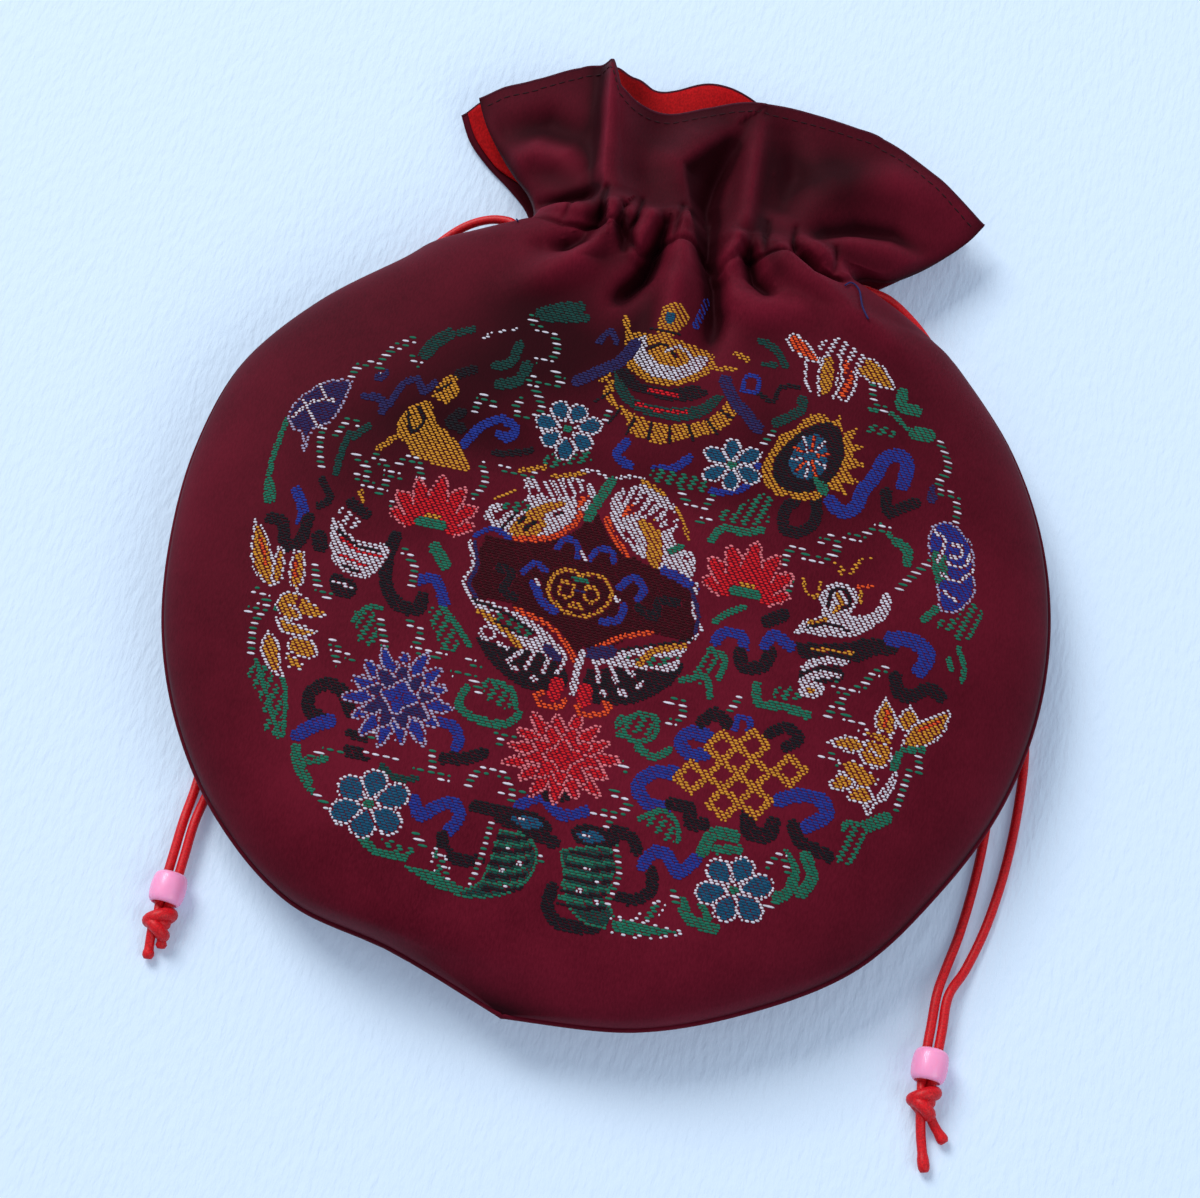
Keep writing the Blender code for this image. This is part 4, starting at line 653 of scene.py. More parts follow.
def outline_radius(angle):
    """Radius of the body's side seam at an angle in degrees, counted from +X."""
    radius = BODY_RADIUS
    for place, rise, width in OUTLINE_BUMPS:
        off = (angle - place + 180) % 360 - 180
        radius += rise * math.exp(-(off / width) ** 2)
    return radius


def dome(q):
    """Height share of a stuffed round panel: 0 at the seam, 1 at the middle."""
    return (1 - (1 - np.clip(q, 0, 1)) ** 1.9) ** 0.56


def edge_rows(table):
    """Every row of a panel, from the bottom of the body to the rim."""
    rows = []
    for step in range(BODY_ROWS + 1):
        turn = SHOULDER_ANGLE * (step / BODY_ROWS) ** 0.93
        row = []
        for angle in (270 - turn, 270 + turn):
            radius = outline_radius(angle % 360)
            row += [radius * math.cos(math.radians(angle)), radius * math.sin(math.radians(angle))]
        rise = dome(math.sin(math.radians(min(turn, 90.0))) ** 2)
        crown = SEAM_HEIGHT + (BODY_HEIGHT - SEAM_HEIGHT) * rise
        crown -= (BODY_HEIGHT - table[0][6]) * 0.8 * smoothstep(95, SHOULDER_ANGLE, turn)
        rows.append(row + [SEAM_HEIGHT, SEAM_HEIGHT, crown, 0.0])
    for line in table:
        left_x, left_y, right_x, right_y = line[:4]
        rows.append([left_x, NECK_Y + left_y, right_x, NECK_Y + right_y, *line[4:]])
    return np.array(rows)


FRONT = edge_rows(FRONT_ROWS)
BACK = edge_rows(BACK_ROWS)
LAST = len(FRONT) - 1
LINING_ROWS = (1.3, LAST - 0.13)


def fold_height(x, y, folds):
    """Sum of some folds at a place."""
    total = np.zeros_like(x)
    for points, left, right in folds:
        best = np.full_like(x, 1e9)
        lift = np.zeros_like(x)
        for (ax, ay, ah), (bx, by, bh) in zip(points, points[1:]):
            dx, dy = bx - ax, by - ay
            share = np.clip(((x - ax) * dx + (y - ay) * dy) / (dx * dx + dy * dy), 0, 1)
            off_x = x - ax - share * dx
            off_y = y - ay - share * dy
            side = off_x * -dy + off_y * dx
            if dy > 0:
                side = -side
            width = np.where(side > 0, right, left) if abs(dy) > abs(dx) else left
            reach = np.hypot(off_x, off_y) / width
            nearer = reach < best
            best = np.where(nearer, reach, best)
            lift = np.where(nearer, ah + share * (bh - ah), lift)
        total += lift * np.exp(-best * best)
    return total


def rim_wave(rim, x):
    """How far a rim stands beyond the straight line between its two ends."""
    rim = np.array(rim)
    where = np.interp(x, rim[:, 0], np.arange(len(rim)))
    chord = np.interp(x, rim[[0, -1], 0], rim[[0, -1], 1])
    return spline(rim, where)[..., 1] - chord


def front_cord_z(x):
    """Height of the drawcords inside the front casing."""
    return EXIT_Z + CORD_ARCH * np.clip(1 - (x / EXIT_X) ** 2, 0, 1)


def casing_share(y, margin):
    """1 over the stretch of casing that holds the cords, 0 away from it."""
    return 1 - smoothstep(CASING_HALF + margin, CASING_HALF + margin + CASING_FADE, np.abs(y - NECK_Y))


def plan(rows, rim, u, v):
    """Place of a panel's point seen from above, with its row's heights."""
    row = spline(rows, v)
    share = (u + 1) / 2
    x = row[..., 0] + share * (row[..., 2] - row[..., 0])
    y = row[..., 1] + share * (row[..., 3] - row[..., 1])
    at_rim = rows[-1][0] + share * (rows[-1][2] - rows[-1][0])
    return x, y + row[..., 7] * rim_wave(rim, at_rim), row


def front_base(u, v):
    """Inner face of the satin on the front panel."""
    x, y, row = plan(FRONT, FRONT_RIM, u, v)
    seam, crown = row[..., 4], row[..., 6]
    edge = np.clip(1 - u * u, 0, 1)
    z = seam + LAYER_GAP / 2 + (crown - seam) * dome(edge)
    z = z + fold_height(x, y - NECK_Y, FOLDS + FINE_FOLDS) * smoothstep(0, 0.12, edge)
    floor = front_cord_z(x) + HALF_CORD + LAYER_GAP
    above = z - floor
    clear = floor + 0.5 * (above + np.sqrt(above * above + 0.3))
    return x, y, z + casing_share(y, 0.5) * (clear - z)


def back_base(u, v):
    """Outer face of the satin on the back panel, which lies on the table."""
    x, y, row = plan(BACK, BACK_RIM, u, v)
    low = np.clip(-y / BODY_RADIUS, 0, 1)
    reach = np.sqrt(np.clip(1 - (1 - low * low) * (1 - u * u), 0, 1))
    lift = (np.clip(reach - FLAT_SHARE, 0, 1) / (1 - FLAT_SHARE)) ** 1.6
    top = row[..., 5] - (LAYER_GAP / 2 + OUTER_CLOTH * STEEP_LIMIT) * smoothstep(3, 8, row[..., 5])
    z = top * lift
    near = np.exp(-((y - NECK_Y) / 15) ** 2) * smoothstep(0, 0.4, 1 - u * u)
    gather = 0.5 - 0.5 * np.cos(2 * math.pi * BACK_GATHERS * (u + 1) / 2)
    z = z + BACK_GATHER_DEPTH * near * gather
    rim = smoothstep(0.5, 1, row[..., 7]) * (1 - u * u)
    return x, y, z + rim * (2.6 + 1.4 * np.cos(4.2 * math.pi * u + 0.6))


def sloped(base, u, v):
    """A place on a face, and how much a wall is thickened along Z on its slope."""
    step = 1e-3
    here = np.stack(base(u, v), -1)
    right, left = (np.stack(base(np.clip(u + way, -1, 1), v), -1) for way in (step, -step))
    along = right - left
    up = np.stack(base(u, v + step), -1) - np.stack(base(u, v - step), -1)
    normal = np.cross(along, up)
    size = np.linalg.norm(normal, axis=-1) + 1e-12
    return here, np.clip(size / (np.abs(normal[..., 2]) + 1e-12), 1, STEEP_LIMIT)


def satin_front(u, v):
    """Upper face of the front satin."""
    here, slope = sloped(front_base, u, v)
    here[..., 2] += OUTER_CLOTH * slope
    return here


def satin_back(u, v):
    """Upper face of the back satin."""
    here, slope = sloped(back_base, u, v)
    here[..., 2] += OUTER_CLOTH * slope
    return here


def lining_gap(y):
    """Clearance between the satin and its lining: slack inside the body, close at the collar."""
    return LINING_GAP + BODY_LINING_SLACK * (1 - smoothstep(62, 84, y))


def lining_front(u, v):
    """Upper face of the front lining, which passes under the front cords."""
    here, slope = sloped(front_base, u, v)
    top = here[..., 2] - lining_gap(here[..., 1]) * slope
    under_cord = front_cord_z(here[..., 0]) - HALF_CORD - LAYER_GAP
    here[..., 2] = top + casing_share(here[..., 1], 0.0) * (np.minimum(top, under_cord) - top)
    return here


def lining_back(u, v):
    """Upper face of the back lining, which passes over the back cords."""
    here, slope = sloped(back_base, u, v)
    low = here[..., 2] + (OUTER_CLOTH + lining_gap(here[..., 1])) * slope
    over_cord = BACK_CORD_Z + HALF_CORD + LAYER_GAP + 0.2
    low = low + casing_share(here[..., 1], 0.0) * (np.maximum(low, over_cord) - low)
    here[..., 2] = low + LINING_CLOTH * slope
    return here


def linear(code):
    """Linear colour from an sRGB hex code."""
    parts = [int(code[k:k + 2], 16) / 255 for k in (0, 2, 4)]
    return tuple(c / 12.92 if c <= 0.04045 else ((c + 0.055) / 1.055) ** 2.4 for c in parts) + (1.0,)


def per_metre(spacing):
    """Scale of a pattern from its spacing in millimetres."""
    return 1 / (spacing * MM)


def set_inputs(tree, node, **values):
    """Inputs of a node, linked or set by their name or their number."""
    for name, value in values.items():
        numbered = name[0] == "i" and name[1:].isdigit()
        socket = node.inputs[int(name[1:]) if numbered else name.replace("_", " ")]
        if isinstance(value, bpy.types.NodeSocket):
            tree.links.new(value, socket)
        else:
            socket.default_value = value


def add(tree, kind, settings=None, stops=(), **values):
    """A node with its settings, the stops of its colour ramp, and its inputs linked or set."""
    node = tree.nodes.new(kind)
    for name, value in (settings or {}).items():
        setattr(node, name, value)
    for k, (position, colour) in enumerate(stops):
        node.color_ramp.elements[k].position = position
        node.color_ramp.elements[k].color = colour
    set_inputs(tree, node, **values)
    return node


def new_material(name):
    """Material with an empty Principled shader."""
    mat = bpy.data.materials.new(name)
    mat.use_nodes = True
    return mat, mat.node_tree, mat.node_tree.nodes["Principled BSDF"]


def as_piece(name, bm, mats, body, sharp=None):
    """Finished piece from a bmesh in millimetres."""
    bmesh.ops.scale(bm, vec=(MM, MM, MM), verts=bm.verts)
    mesh = bpy.data.meshes.new(name)
    bm.to_mesh(mesh)
    bm.free()
    mesh.shade_smooth()
    if sharp:
        mesh.set_sharp_from_angle(angle=math.radians(sharp))
    for mat in mats:
        mesh.materials.append(mat)
    obj = bpy.data.objects.new(name, mesh)
    bpy.context.scene.collection.objects.link(obj)
    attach(obj, body)
    return obj


def hollows(level):
    """How deep each place of a sheet lies below its surroundings, in millimetres: under 0 on a ridge."""
    around = level
    for _ in range(HOLLOW_REACH):
        around = np.pad(around, 1, mode="edge")
        around = (around[:-2, 1:-1] + around[2:, 1:-1] + around[1:-1, :-2] + around[1:-1, 2:]) / 4
    return around - level


def painted_shade_depths(face, places, level):
    """Depth of painted shade on a face: hollows, gathered collar, strokes, less the painted sheen of the
    ground.
    """
    x, y = places[:, 0], places[:, 1]
    strokes = {satin_front: SHADES, lining_back: (LINING_SHADE,)}.get(face, ())
    depths = fold_height(x, y - NECK_Y, strokes)
    if face in (satin_front, satin_back):
        collar = smoothstep(*COLLAR_START, y) * (1 - COLLAR_LIT_SHARE * smoothstep(*COLLAR_LIT, x))
        depths = depths + hollows(level).ravel() + COLLAR_PAINTED_SHADE * collar
    if face is satin_front:
        away = np.hypot(x - GROUND_MIDDLE[0], y - GROUND_MIDDLE[1])
        depths = depths - GROUND_PAINTED_SHEEN * (1 - smoothstep(*GROUND_REACH, away))
    return depths


def cloth_grid(face, size, first_row, last_row, collar_inset):
    """A face of cloth, from the bottom of the body (or first_row) to last_row."""
    bm = bmesh.new()
    bm.loops.layers.uv.new("weave")
    bmesh.ops.create_grid(bm, x_segments=size[0], y_segments=size[1], size=1.0, calc_uvs=True)
    flat = np.array([vert.co for vert in bm.verts])
    rows = FRONT if face in (satin_front, lining_front) else BACK
    share = (flat[:, 1] + 1) / 2
    v = first_row + (last_row - first_row) * (0.45 * share + 0.55 * share ** 0.8)
    row = spline(rows, v)
    half = np.maximum((row[:, 2] - row[:, 0]) / 2, 1.0)
    t = flat[:, 0]
    round_share = 0.6 * (1 - smoothstep(BODY_ROWS - 2, BODY_ROWS + 1, v))
    u = (1 - round_share) * t + round_share * np.sin(math.pi / 2 * t)
    if collar_inset:
        near = casing_share((row[:, 1] + row[:, 3]) / 2, 1.0)
        inset = LINING_INSET + (collar_inset - LINING_INSET) * smoothstep(BODY_ROWS + 7, BODY_ROWS + 9, v)
        u = u * ((half - inset) * (1 - near) + CASING_LINING_EDGE * near) / half
    places = face(u, v)
    # Depth of painted shade at every vertex, by which the cloth's material darkens its colour
    painted_shade = bm.verts.layers.float.new("painted_shade")
    level = places[:, 2].reshape(size[1] + 1, size[0] + 1)
    for vert, place, depth in zip(bm.verts, places, painted_shade_depths(face, places, level)):
        vert.co = place
        vert[painted_shade] = depth
    bmesh.ops.remove_doubles(bm, verts=bm.verts, dist=0.002)
    bmesh.ops.dissolve_degenerate(bm, edges=bm.edges, dist=0.001)
    return bm


def solidify(obj, thickness):
    """Thickness in millimetres, laid below the face that was drawn."""
    mod = obj.modifiers.new("thickness", "SOLIDIFY")
    mod.thickness = thickness * MM
    mod.offset = -1
    mod.use_even_offset = False


def even_points(route, step):
    """Points about step apart on a smooth curve through a route's own points."""
    fine = spline(route, np.linspace(0, len(route) - 1, 40 * len(route)))
    fine[:, 2] = np.maximum(fine[:, 2], UNDER_Z)
    length = np.concatenate(([0], np.cumsum(np.linalg.norm(np.diff(fine, axis=0), axis=1))))
    marks = np.linspace(0, length[-1], max(3, round(length[-1] / step) + 1))
    return np.stack([np.interp(marks, length, fine[:, k]) for k in range(3)], -1)


def with_painted_shade(tree, colour, bsdf, reach, deepest):
    """Base colour that falls away, as painted shade, in the hollows of a cloth and wherever else its
    painted shade is laid.
    """
    painted_shade = add(tree, "ShaderNodeAttribute", {"attribute_name": "painted_shade"}).outputs["Fac"]
    depth = add(tree, "ShaderNodeMapRange", i0=painted_shade, i1=reach[0], i2=reach[1], i3=0.0, i4=1.0)
    shaded_colour = add(tree, "ShaderNodeMix", {"data_type": "RGBA", "blend_type": "MULTIPLY"},
               i0=depth.outputs[0], i6=colour, i7=deepest)
    tree.links.new(shaded_colour.outputs[2], bsdf.inputs["Base Color"])


def satin_material():
    """Warp-faced satin: fine upright ribs of thread, a soft broad sheen, and painted shade in its folds and
    collar, lighter on the brocade's ground.
    """
    mat, tree, bsdf = new_material("maroon_warp_satin")
    place = add(tree, "ShaderNodeTexCoord").outputs["Object"]
    ribs = add(tree, "ShaderNodeMapping", Vector=place, Scale=[per_metre(size) for size in SATIN_WEAVE])
    weave = add(tree, "ShaderNodeTexNoise", Vector=ribs.outputs[0], Scale=1.0, Detail=2.0, Roughness=0.6)
    cloud = add(tree, "ShaderNodeTexNoise", Vector=place, Scale=per_metre(SATIN_CLOUD), Detail=4.0,
                Roughness=0.6)
    shade = add(tree, "ShaderNodeMath", {"operation": "MULTIPLY_ADD"},
                i0=weave.outputs[0], i1=0.55, i2=cloud.outputs[0])
    cloth = add(tree, "ShaderNodeValToRGB", i0=shade.outputs[0],
                stops=((0.52, linear("4A0A18")), (1.0, linear("6C1628"))))
    # Painted shade: the colour is multiplied towards near black where the painted shade is deep
    with_painted_shade(tree, cloth.outputs[0], bsdf, (-1.2, 1.7), (0.1, 0.08, 0.09, 1.0))
    bump = add(tree, "ShaderNodeBump", Height=weave.outputs[0], Strength=0.25, Distance=0.12 * MM)
    set_inputs(tree, bsdf, Normal=bump.outputs[0], Roughness=0.62, Specular_IOR_Level=0.12,
               Specular_Tint=linear("E07088"), Sheen_Weight=0.06, Sheen_Roughness=0.5,
               Sheen_Tint=linear("C8506A"))
    return mat


def lining_material():
    """Plain-woven polyester lining: bright red, crossed threads, a little sheen."""
    mat, tree, bsdf = new_material("red_plain_weave_lining")
    place = add(tree, "ShaderNodeTexCoord").outputs["Object"]
    threads = add(tree, "ShaderNodeMapping", Vector=place, Scale=[per_metre(size) for size in LINING_WEAVE])
    weave = add(tree, "ShaderNodeTexNoise", Vector=threads.outputs[0], Scale=1.0, Detail=1.0)
    cloth = add(tree, "ShaderNodeValToRGB", i0=weave.outputs[0],
                stops=((0.3, linear("900A10")), (0.75, linear("B81216"))))
    # Painted shade on the back lining at the mouth, from its strokes of shade
    with_painted_shade(tree, cloth.outputs[0], bsdf, (0.0, 1.0), (0.3, 0.1, 0.2, 1.0))
    bump = add(tree, "ShaderNodeBump", Height=weave.outputs[0], Strength=0.3, Distance=0.15 * MM)
    set_inputs(tree, bsdf, Normal=bump.outputs[0], Roughness=0.7, Specular_IOR_Level=0.05)
    return mat


def cord_material():
    """Satin-wrapped polyester cord: bright red, with a glossy highlight along it."""
    mat, tree, bsdf = new_material("red_satin_cord")
    place = add(tree, "ShaderNodeTexCoord").outputs["Object"]
    wrap = add(tree, "ShaderNodeTexNoise", Vector=place, Scale=per_metre(CORD_WRAP), Detail=1.0)
    cloth = add(tree, "ShaderNodeValToRGB", i0=wrap.outputs[0],
                stops=((0.35, linear("B00A15")), (0.65, linear("D8141E"))))
    bump = add(tree, "ShaderNodeBump", Height=wrap.outputs[0], Strength=0.35, Distance=0.12 * MM)
    set_inputs(tree, bsdf, Base_Color=cloth.outputs[0], Normal=bump.outputs[0], Roughness=0.45,
               Specular_IOR_Level=0.25)
    return mat


def bead_material():
    """Moulded acrylic bead: pink, cloudy, with a glossy skin."""
    mat, tree, bsdf = new_material("pink_moulded_acrylic")
    set_inputs(tree, bsdf, Base_Color=linear("FF9AC6"), Roughness=0.4, Coat_Weight=0.2,
               Subsurface_Weight=0.5, Subsurface_Radius=(0.004, 0.002, 0.002), Subsurface_Scale=0.6)
    return mat


def thread_material(name, colour):
    """Untwisted silky brocading thread of one colour, darker between its tufts."""
    mat, tree, bsdf = new_material(f"{name}_silk_thread")
    place = add(tree, "ShaderNodeTexCoord").outputs["Object"]
    tuft = add(tree, "ShaderNodeTexNoise", Vector=place, Scale=per_metre(THREAD_TUFT), Detail=1.0)
    pure = linear(colour)
    dark = tuple(0.72 * c for c in pure[:3]) + (1.0,)
    silk = add(tree, "ShaderNodeValToRGB", i0=tuft.outputs[0], stops=((0.3, dark), (0.7, pure)))
    set_inputs(tree, bsdf, Base_Color=silk.outputs[0], Roughness=0.7, Specular_IOR_Level=0.1)
    return mat


def wrapped_tube(bm, points, radii, sides=14):
    """Round tube along points, rolled up from a grid, with closed ends; radii in millimetres."""
    ahead = np.gradient(points, axis=0)
    ahead /= np.linalg.norm(ahead, axis=1)[:, None]
    frames = []
    side = np.cross(ahead[0], (0.0, 0.0, 1.0))
    for direction in ahead:
        side = side - direction * (side @ direction)
        side = side / np.linalg.norm(side)
        frames.append((side, np.cross(side, direction)))
    made = bmesh.ops.create_grid(bm, x_segments=sides, y_segments=len(points) - 1, size=1.0, calc_uvs=True)
    rims = ([], [])
    for vert in made["verts"]:
        turn = math.pi * (vert.co.x + 1)
        k = round((vert.co.y + 1) / 2 * (len(points) - 1))
        across, up = frames[k]
        vert.co = Vector(points[k] + radii[k] * (math.cos(turn) * across + math.sin(turn) * up))
        if k in (0, len(points) - 1):
            rims[k > 0].append(vert)
    bmesh.ops.remove_doubles(bm, verts=made["verts"], dist=0.001)
    for rim in rims:
        ring = [vert for vert in rim if vert.is_valid]
        bmesh.ops.contextual_create(bm, geom=ring)
    bmesh.ops.recalc_face_normals(bm, faces=bm.faces)


def cord_piece(name, route, mat, replaced, step=0.8):
    """Round cord along a route, with the points that it follows."""
    points = even_points(route, step)
    bm = bmesh.new()
    bm.loops.layers.uv.new("along")
    wrapped_tube(bm, points, np.full(len(points), HALF_CORD))
    obj = as_piece(name, bm, [mat], "root")
    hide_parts(replaced)
    return obj, points


def casing_loop(side, name, track, mat):
    """Held stretch of a drawcord: along the front casing, round its far end and back."""
    start = EXIT_X - CORD_GAP
    marks = np.linspace(-start, TURN_X, 9)
    front = [(side * x, track, front_cord_z(x)) for x in marks]
    top = front_cord_z(TURN_X)
    bend = (top - BACK_CORD_Z) / 2
    middle = (top + BACK_CORD_Z) / 2
    turn = [(side * (TURN_X + bend * math.cos(a)), track, middle + bend * math.sin(a))
            for a in np.radians((45, 0, -45))]
    back = [(side * x, track, BACK_CORD_Z) for x in marks[::-1]]
    cord_piece(f"{name}_cord_in_casing", front + turn + back, mat, f"{name}_drawcord_in_casing")


def bead(name, place, mat):
    """Barrel bead, turned about its bore along Y."""
    half, outer, bore = BEAD_LENGTH / 2, BEAD_OUTER / 2, BEAD_BORE / 2
    lip, belly = 0.4, outer - 0.35
    profile = [(bore, lip - half), (bore + lip, -half), (belly - 1.0, -half), (belly - 0.35, 0.25 - half),
               (belly, 0.9 - half), (outer - 0.12, 2.0 - half), (outer, 0)]
    profile += [(r, -y) for r, y in profile[-2::-1]]
    bm = bmesh.new()
    verts = [bm.verts.new((r, y, 0)) for r, y in profile]
    edges = [bm.edges.new((a, b)) for a, b in zip(verts, verts[1:] + verts[:1])]
    bmesh.ops.spin(bm, geom=verts + edges, cent=(0, 0, 0), axis=(0, 1, 0), angle=2 * math.pi,
                   steps=48, use_merge=True, use_duplicate=False)
    bmesh.ops.remove_doubles(bm, verts=bm.verts, dist=0.001)
    bmesh.ops.recalc_face_normals(bm, faces=bm.faces)
    bmesh.ops.translate(bm, vec=(place[0], place[1], BEAD_AXIS), verts=bm.verts)
    obj = as_piece(f"{name}_barrel_bead", bm, [mat], f"{name}_bead", sharp=50)
    smooth = obj.modifiers.new("round", "SUBSURF")
    smooth.levels = smooth.render_levels = 1
    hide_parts(f"{name}_bead")
    return obj


def overhand_knot(name, place, tails, mat):
    """Doubled cord tied in an overhand knot below a bead, with its two melted ends."""
    centre = np.array((place[0], place[1] - BEAD_LENGTH / 2 - CORD_GAP - KNOT_LENGTH / 2, KNOT_LENGTH / 2))
    bm = bmesh.new()
    bm.loops.layers.uv.new("along")
    turn = 2.0 * math.pi * np.linspace(0, 1, 48)
    for up, lean, reach in KNOT_WRAPS:
        slope = math.radians(lean)
        ring = np.stack((reach * np.cos(turn) * math.cos(slope),
                         up + reach * np.cos(turn) * math.sin(slope),
                         KNOT_FLATNESS * reach * np.sin(turn)), -1)
        wrapped_tube(bm, centre + ring, np.full(len(ring), KNOT_CORD), 14)
    for aside in (-STRAND_SPREAD, STRAND_SPREAD):
        neck = np.array(((aside, BEAD_LENGTH / 2 + CORD_GAP + KNOT_LENGTH / 2, STRAND_Z - centre[2]),
                         (0.8 * aside, KNOT_LENGTH / 2, 0),
                         (0.5 * aside, 1.2, 0.4),
                         (0.3 * aside, -1, 0.3)))
        points = even_points(neck + centre, 0.6)
        wrapped_tube(bm, points, np.full(len(points), HALF_CORD - 0.02), 12)
    for offsets in tails:
        points = even_points(np.array(offsets) + centre, 0.7)
        share = np.linspace(0, 1, len(points))
        wrapped_tube(bm, points, np.interp(share, *TAIL_SHAPE), 12)
    obj = as_piece(f"{name}_overhand_knot", bm, [mat], "root")
    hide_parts(f"{name}_knot")
    return obj


def drawcord(side, name, track, strands, bead_place, tails, cord_mat, bead_mat):
    """One drawcord with its bead and knot."""
    casing_loop(side, name, track, cord_mat)
    carried = [bead(name, bead_place, bead_mat), overhand_knot(name, bead_place, tails, cord_mat)]
    for letter, middle, exit_z, spread in zip("ab", strands, (EXIT_Z, BACK_CORD_Z), (-side, side)):
        x = bead_place[0] + spread * STRAND_SPREAD
        through = [(x, bead_place[1] + along, STRAND_Z)
                   for along in (BEAD_RUN, BEAD_RUN / 2, -BEAD_LENGTH / 2)]
        straight = [(-side * (EXIT_X + out), track, exit_z) for out in (0, CORD)]
        obj, points = cord_piece(f"{name}_cord_strand_{letter}", straight + list(middle) + through,
                                 cord_mat, f"{name}_drawcord_strand_{letter}")


def rounded(numbers, closed):
    """Smooth line through points given as x, y, x, y, and so on."""
    points = np.array(numbers, float).reshape(-1, 2)
    if closed:
        points = np.concatenate((points, points[:1]))
    return spline(points, np.linspace(0, len(points) - 1, 4 * (len(points) - 1) + 1))


def window(line, margin):
    """Part of the weaving chart around a line."""
    left, top = CHART_X[0, 0], CHART_Y[0, 0]
    x, y = line[:, 0], line[:, 1]
    rows = (top - y.max() - margin) / ROW_PITCH, (top - y.min() + margin) / ROW_PITCH
    columns = (x.min() - margin - left) / CHART_STEP, (x.max() + margin - left) / CHART_STEP
    return tuple(slice(max(0, int(low)), max(0, int(high) + 2)) for low, high in (rows, columns))


def near_line(line, width, part):
    """Places in a part of the weaving chart that a line of some width covers."""
    x, y = CHART_X[part], CHART_Y[part]
    best = np.full(x.shape, 1e9)
    for (ax, ay), (bx, by) in zip(line, line[1:]):
        dx, dy = bx - ax, by - ay
        share = np.clip(((x - ax) * dx + (y - ay) * dy) / (dx * dx + dy * dy + 1e-9), 0, 1)
        best = np.minimum(best, np.hypot(x - ax - share * dx, y - ay - share * dy))
    return best < width / 2


def enclosed(line, part):
    """Places in a part of the weaving chart inside a closed line."""
    x, y = CHART_X[part], CHART_Y[part]
    inside = np.zeros(x.shape, bool)
    for (ax, ay), (bx, by) in zip(line, line[1:]):
        if ay != by:
            crossing = ax + (y - ay) * (bx - ax) / (by - ay)
            inside ^= ((ay > y) != (by > y)) & (x < crossing)
    return inside


def draw_line(chart, thread, width, *numbers):
    """A line of one thread."""
    line = rounded(numbers, False)
    part = window(line, width)
    chart[part][near_line(line, width, part)] = thread


def draw_shape(chart, fill, outline, *numbers):
    """A filled shape, with an outline or none."""
    line = rounded(numbers, True)
    part = window(line, OUTLINE)
    chart[part][enclosed(line, part)] = fill
    if outline:
        chart[part][near_line(line, OUTLINE, part)] = outline


def draw_petal(chart, fill, outline, x, y, angle, near, far, width, flat=1.0, blunt=False):
    """Petal at an angle in degrees round a middle: a pointed one is outlined at its tip only."""
    ahead = np.array((math.cos(math.radians(angle)), math.sin(math.radians(angle))))
    aside = np.array((-ahead[1], ahead[0])) * width / 2
    belly, shoulder = (ahead * (near + share * (far - near)) for share in (0.5, 0.86))
    tip = (BLUNT_TIP if blunt else POINTED_TIP) * aside
    line = [ahead * near, belly + aside, shoulder + tip, ahead * far, shoulder - tip, belly - aside]
    line = [(x, y) + point * (1, flat) for point in line]
    draw_shape(chart, fill, outline if blunt else "", *np.concatenate(line))
    if not blunt:
        draw_line(chart, outline, OUTLINE, *np.concatenate(line[1:]))


def draw_flower(chart, fill, outline, x, y, petals, first, near, far, width, flat=1.0):
    """Round flower, its petals a little uneven in length: a teal one has blunt petals and a green eye."""
    blunt = fill == "T"
    for k in range(petals):
        reach = far * (1 + PETAL_UNEVENNESS * math.cos(2.4 * k))
        angle = first + 360 * k / petals
        draw_petal(chart, fill, outline, x, y, angle, near, reach, width, flat, blunt)
    if blunt:
        draw_line(chart, "E", 1.6, x - 0.4, y, x + 0.4, y)


def draw_lotus(chart, fill, outline, x, y, reach):
    """Lotus from the side: a fan of pointed petals over a green cup."""
    fan = ((170, 0.86), (10, 0.86), (145, 1.0), (35, 1.0), (118, 1.04), (62, 1.04), (90, 1.1))
    for angle, share in fan:
        draw_petal(chart, fill, outline, x, y, angle, 0.6, reach * share, 0.42 * reach)
    draw_line(chart, "E", 2.4, x - 2.6, y + 0.4, x + 2.6, y + 0.4)
    draw_line(chart, "G", 1.2, x - 1.4, y + 2.4, x + 1.4, y + 2.4)


def draw_knot(chart):
    """Endless knot in gold: the sides of every open square of its lattice."""
    middle, one_way, other_way = np.array(KNOT_MIDDLE), np.array(KNOT_STEPS[0]), np.array(KNOT_STEPS[1])
    for i, j in KNOT_SQUARES:
        corners = [middle + (i + a) * one_way + (j + b) * other_way
                   for a, b in ((-0.5, -0.5), (0.5, -0.5), (0.5, 0.5), (-0.5, 0.5), (-0.5, -0.5))]
        for line in zip(corners, corners[1:]):
            line = np.array(line)
            part = window(line, KNOT_STRAND)
            chart[part][near_line(line, KNOT_STRAND, part)] = "G"


def weaving_chart():
    """Which brocading thread lies over every place of the roundel."""
    chart = np.full(CHART_X.shape, ".")
    for line in RIBBONS:
        draw_line(chart, *line)
    for shape in SHAPES:
        draw_shape(chart, *shape)
    for flower in FLOWERS:
        draw_flower(chart, *flower)
    for lotus in LOTUSES:
        draw_lotus(chart, *lotus)
    for line in DETAILS:
        draw_line(chart, *line)
    draw_knot(chart)
    return chart


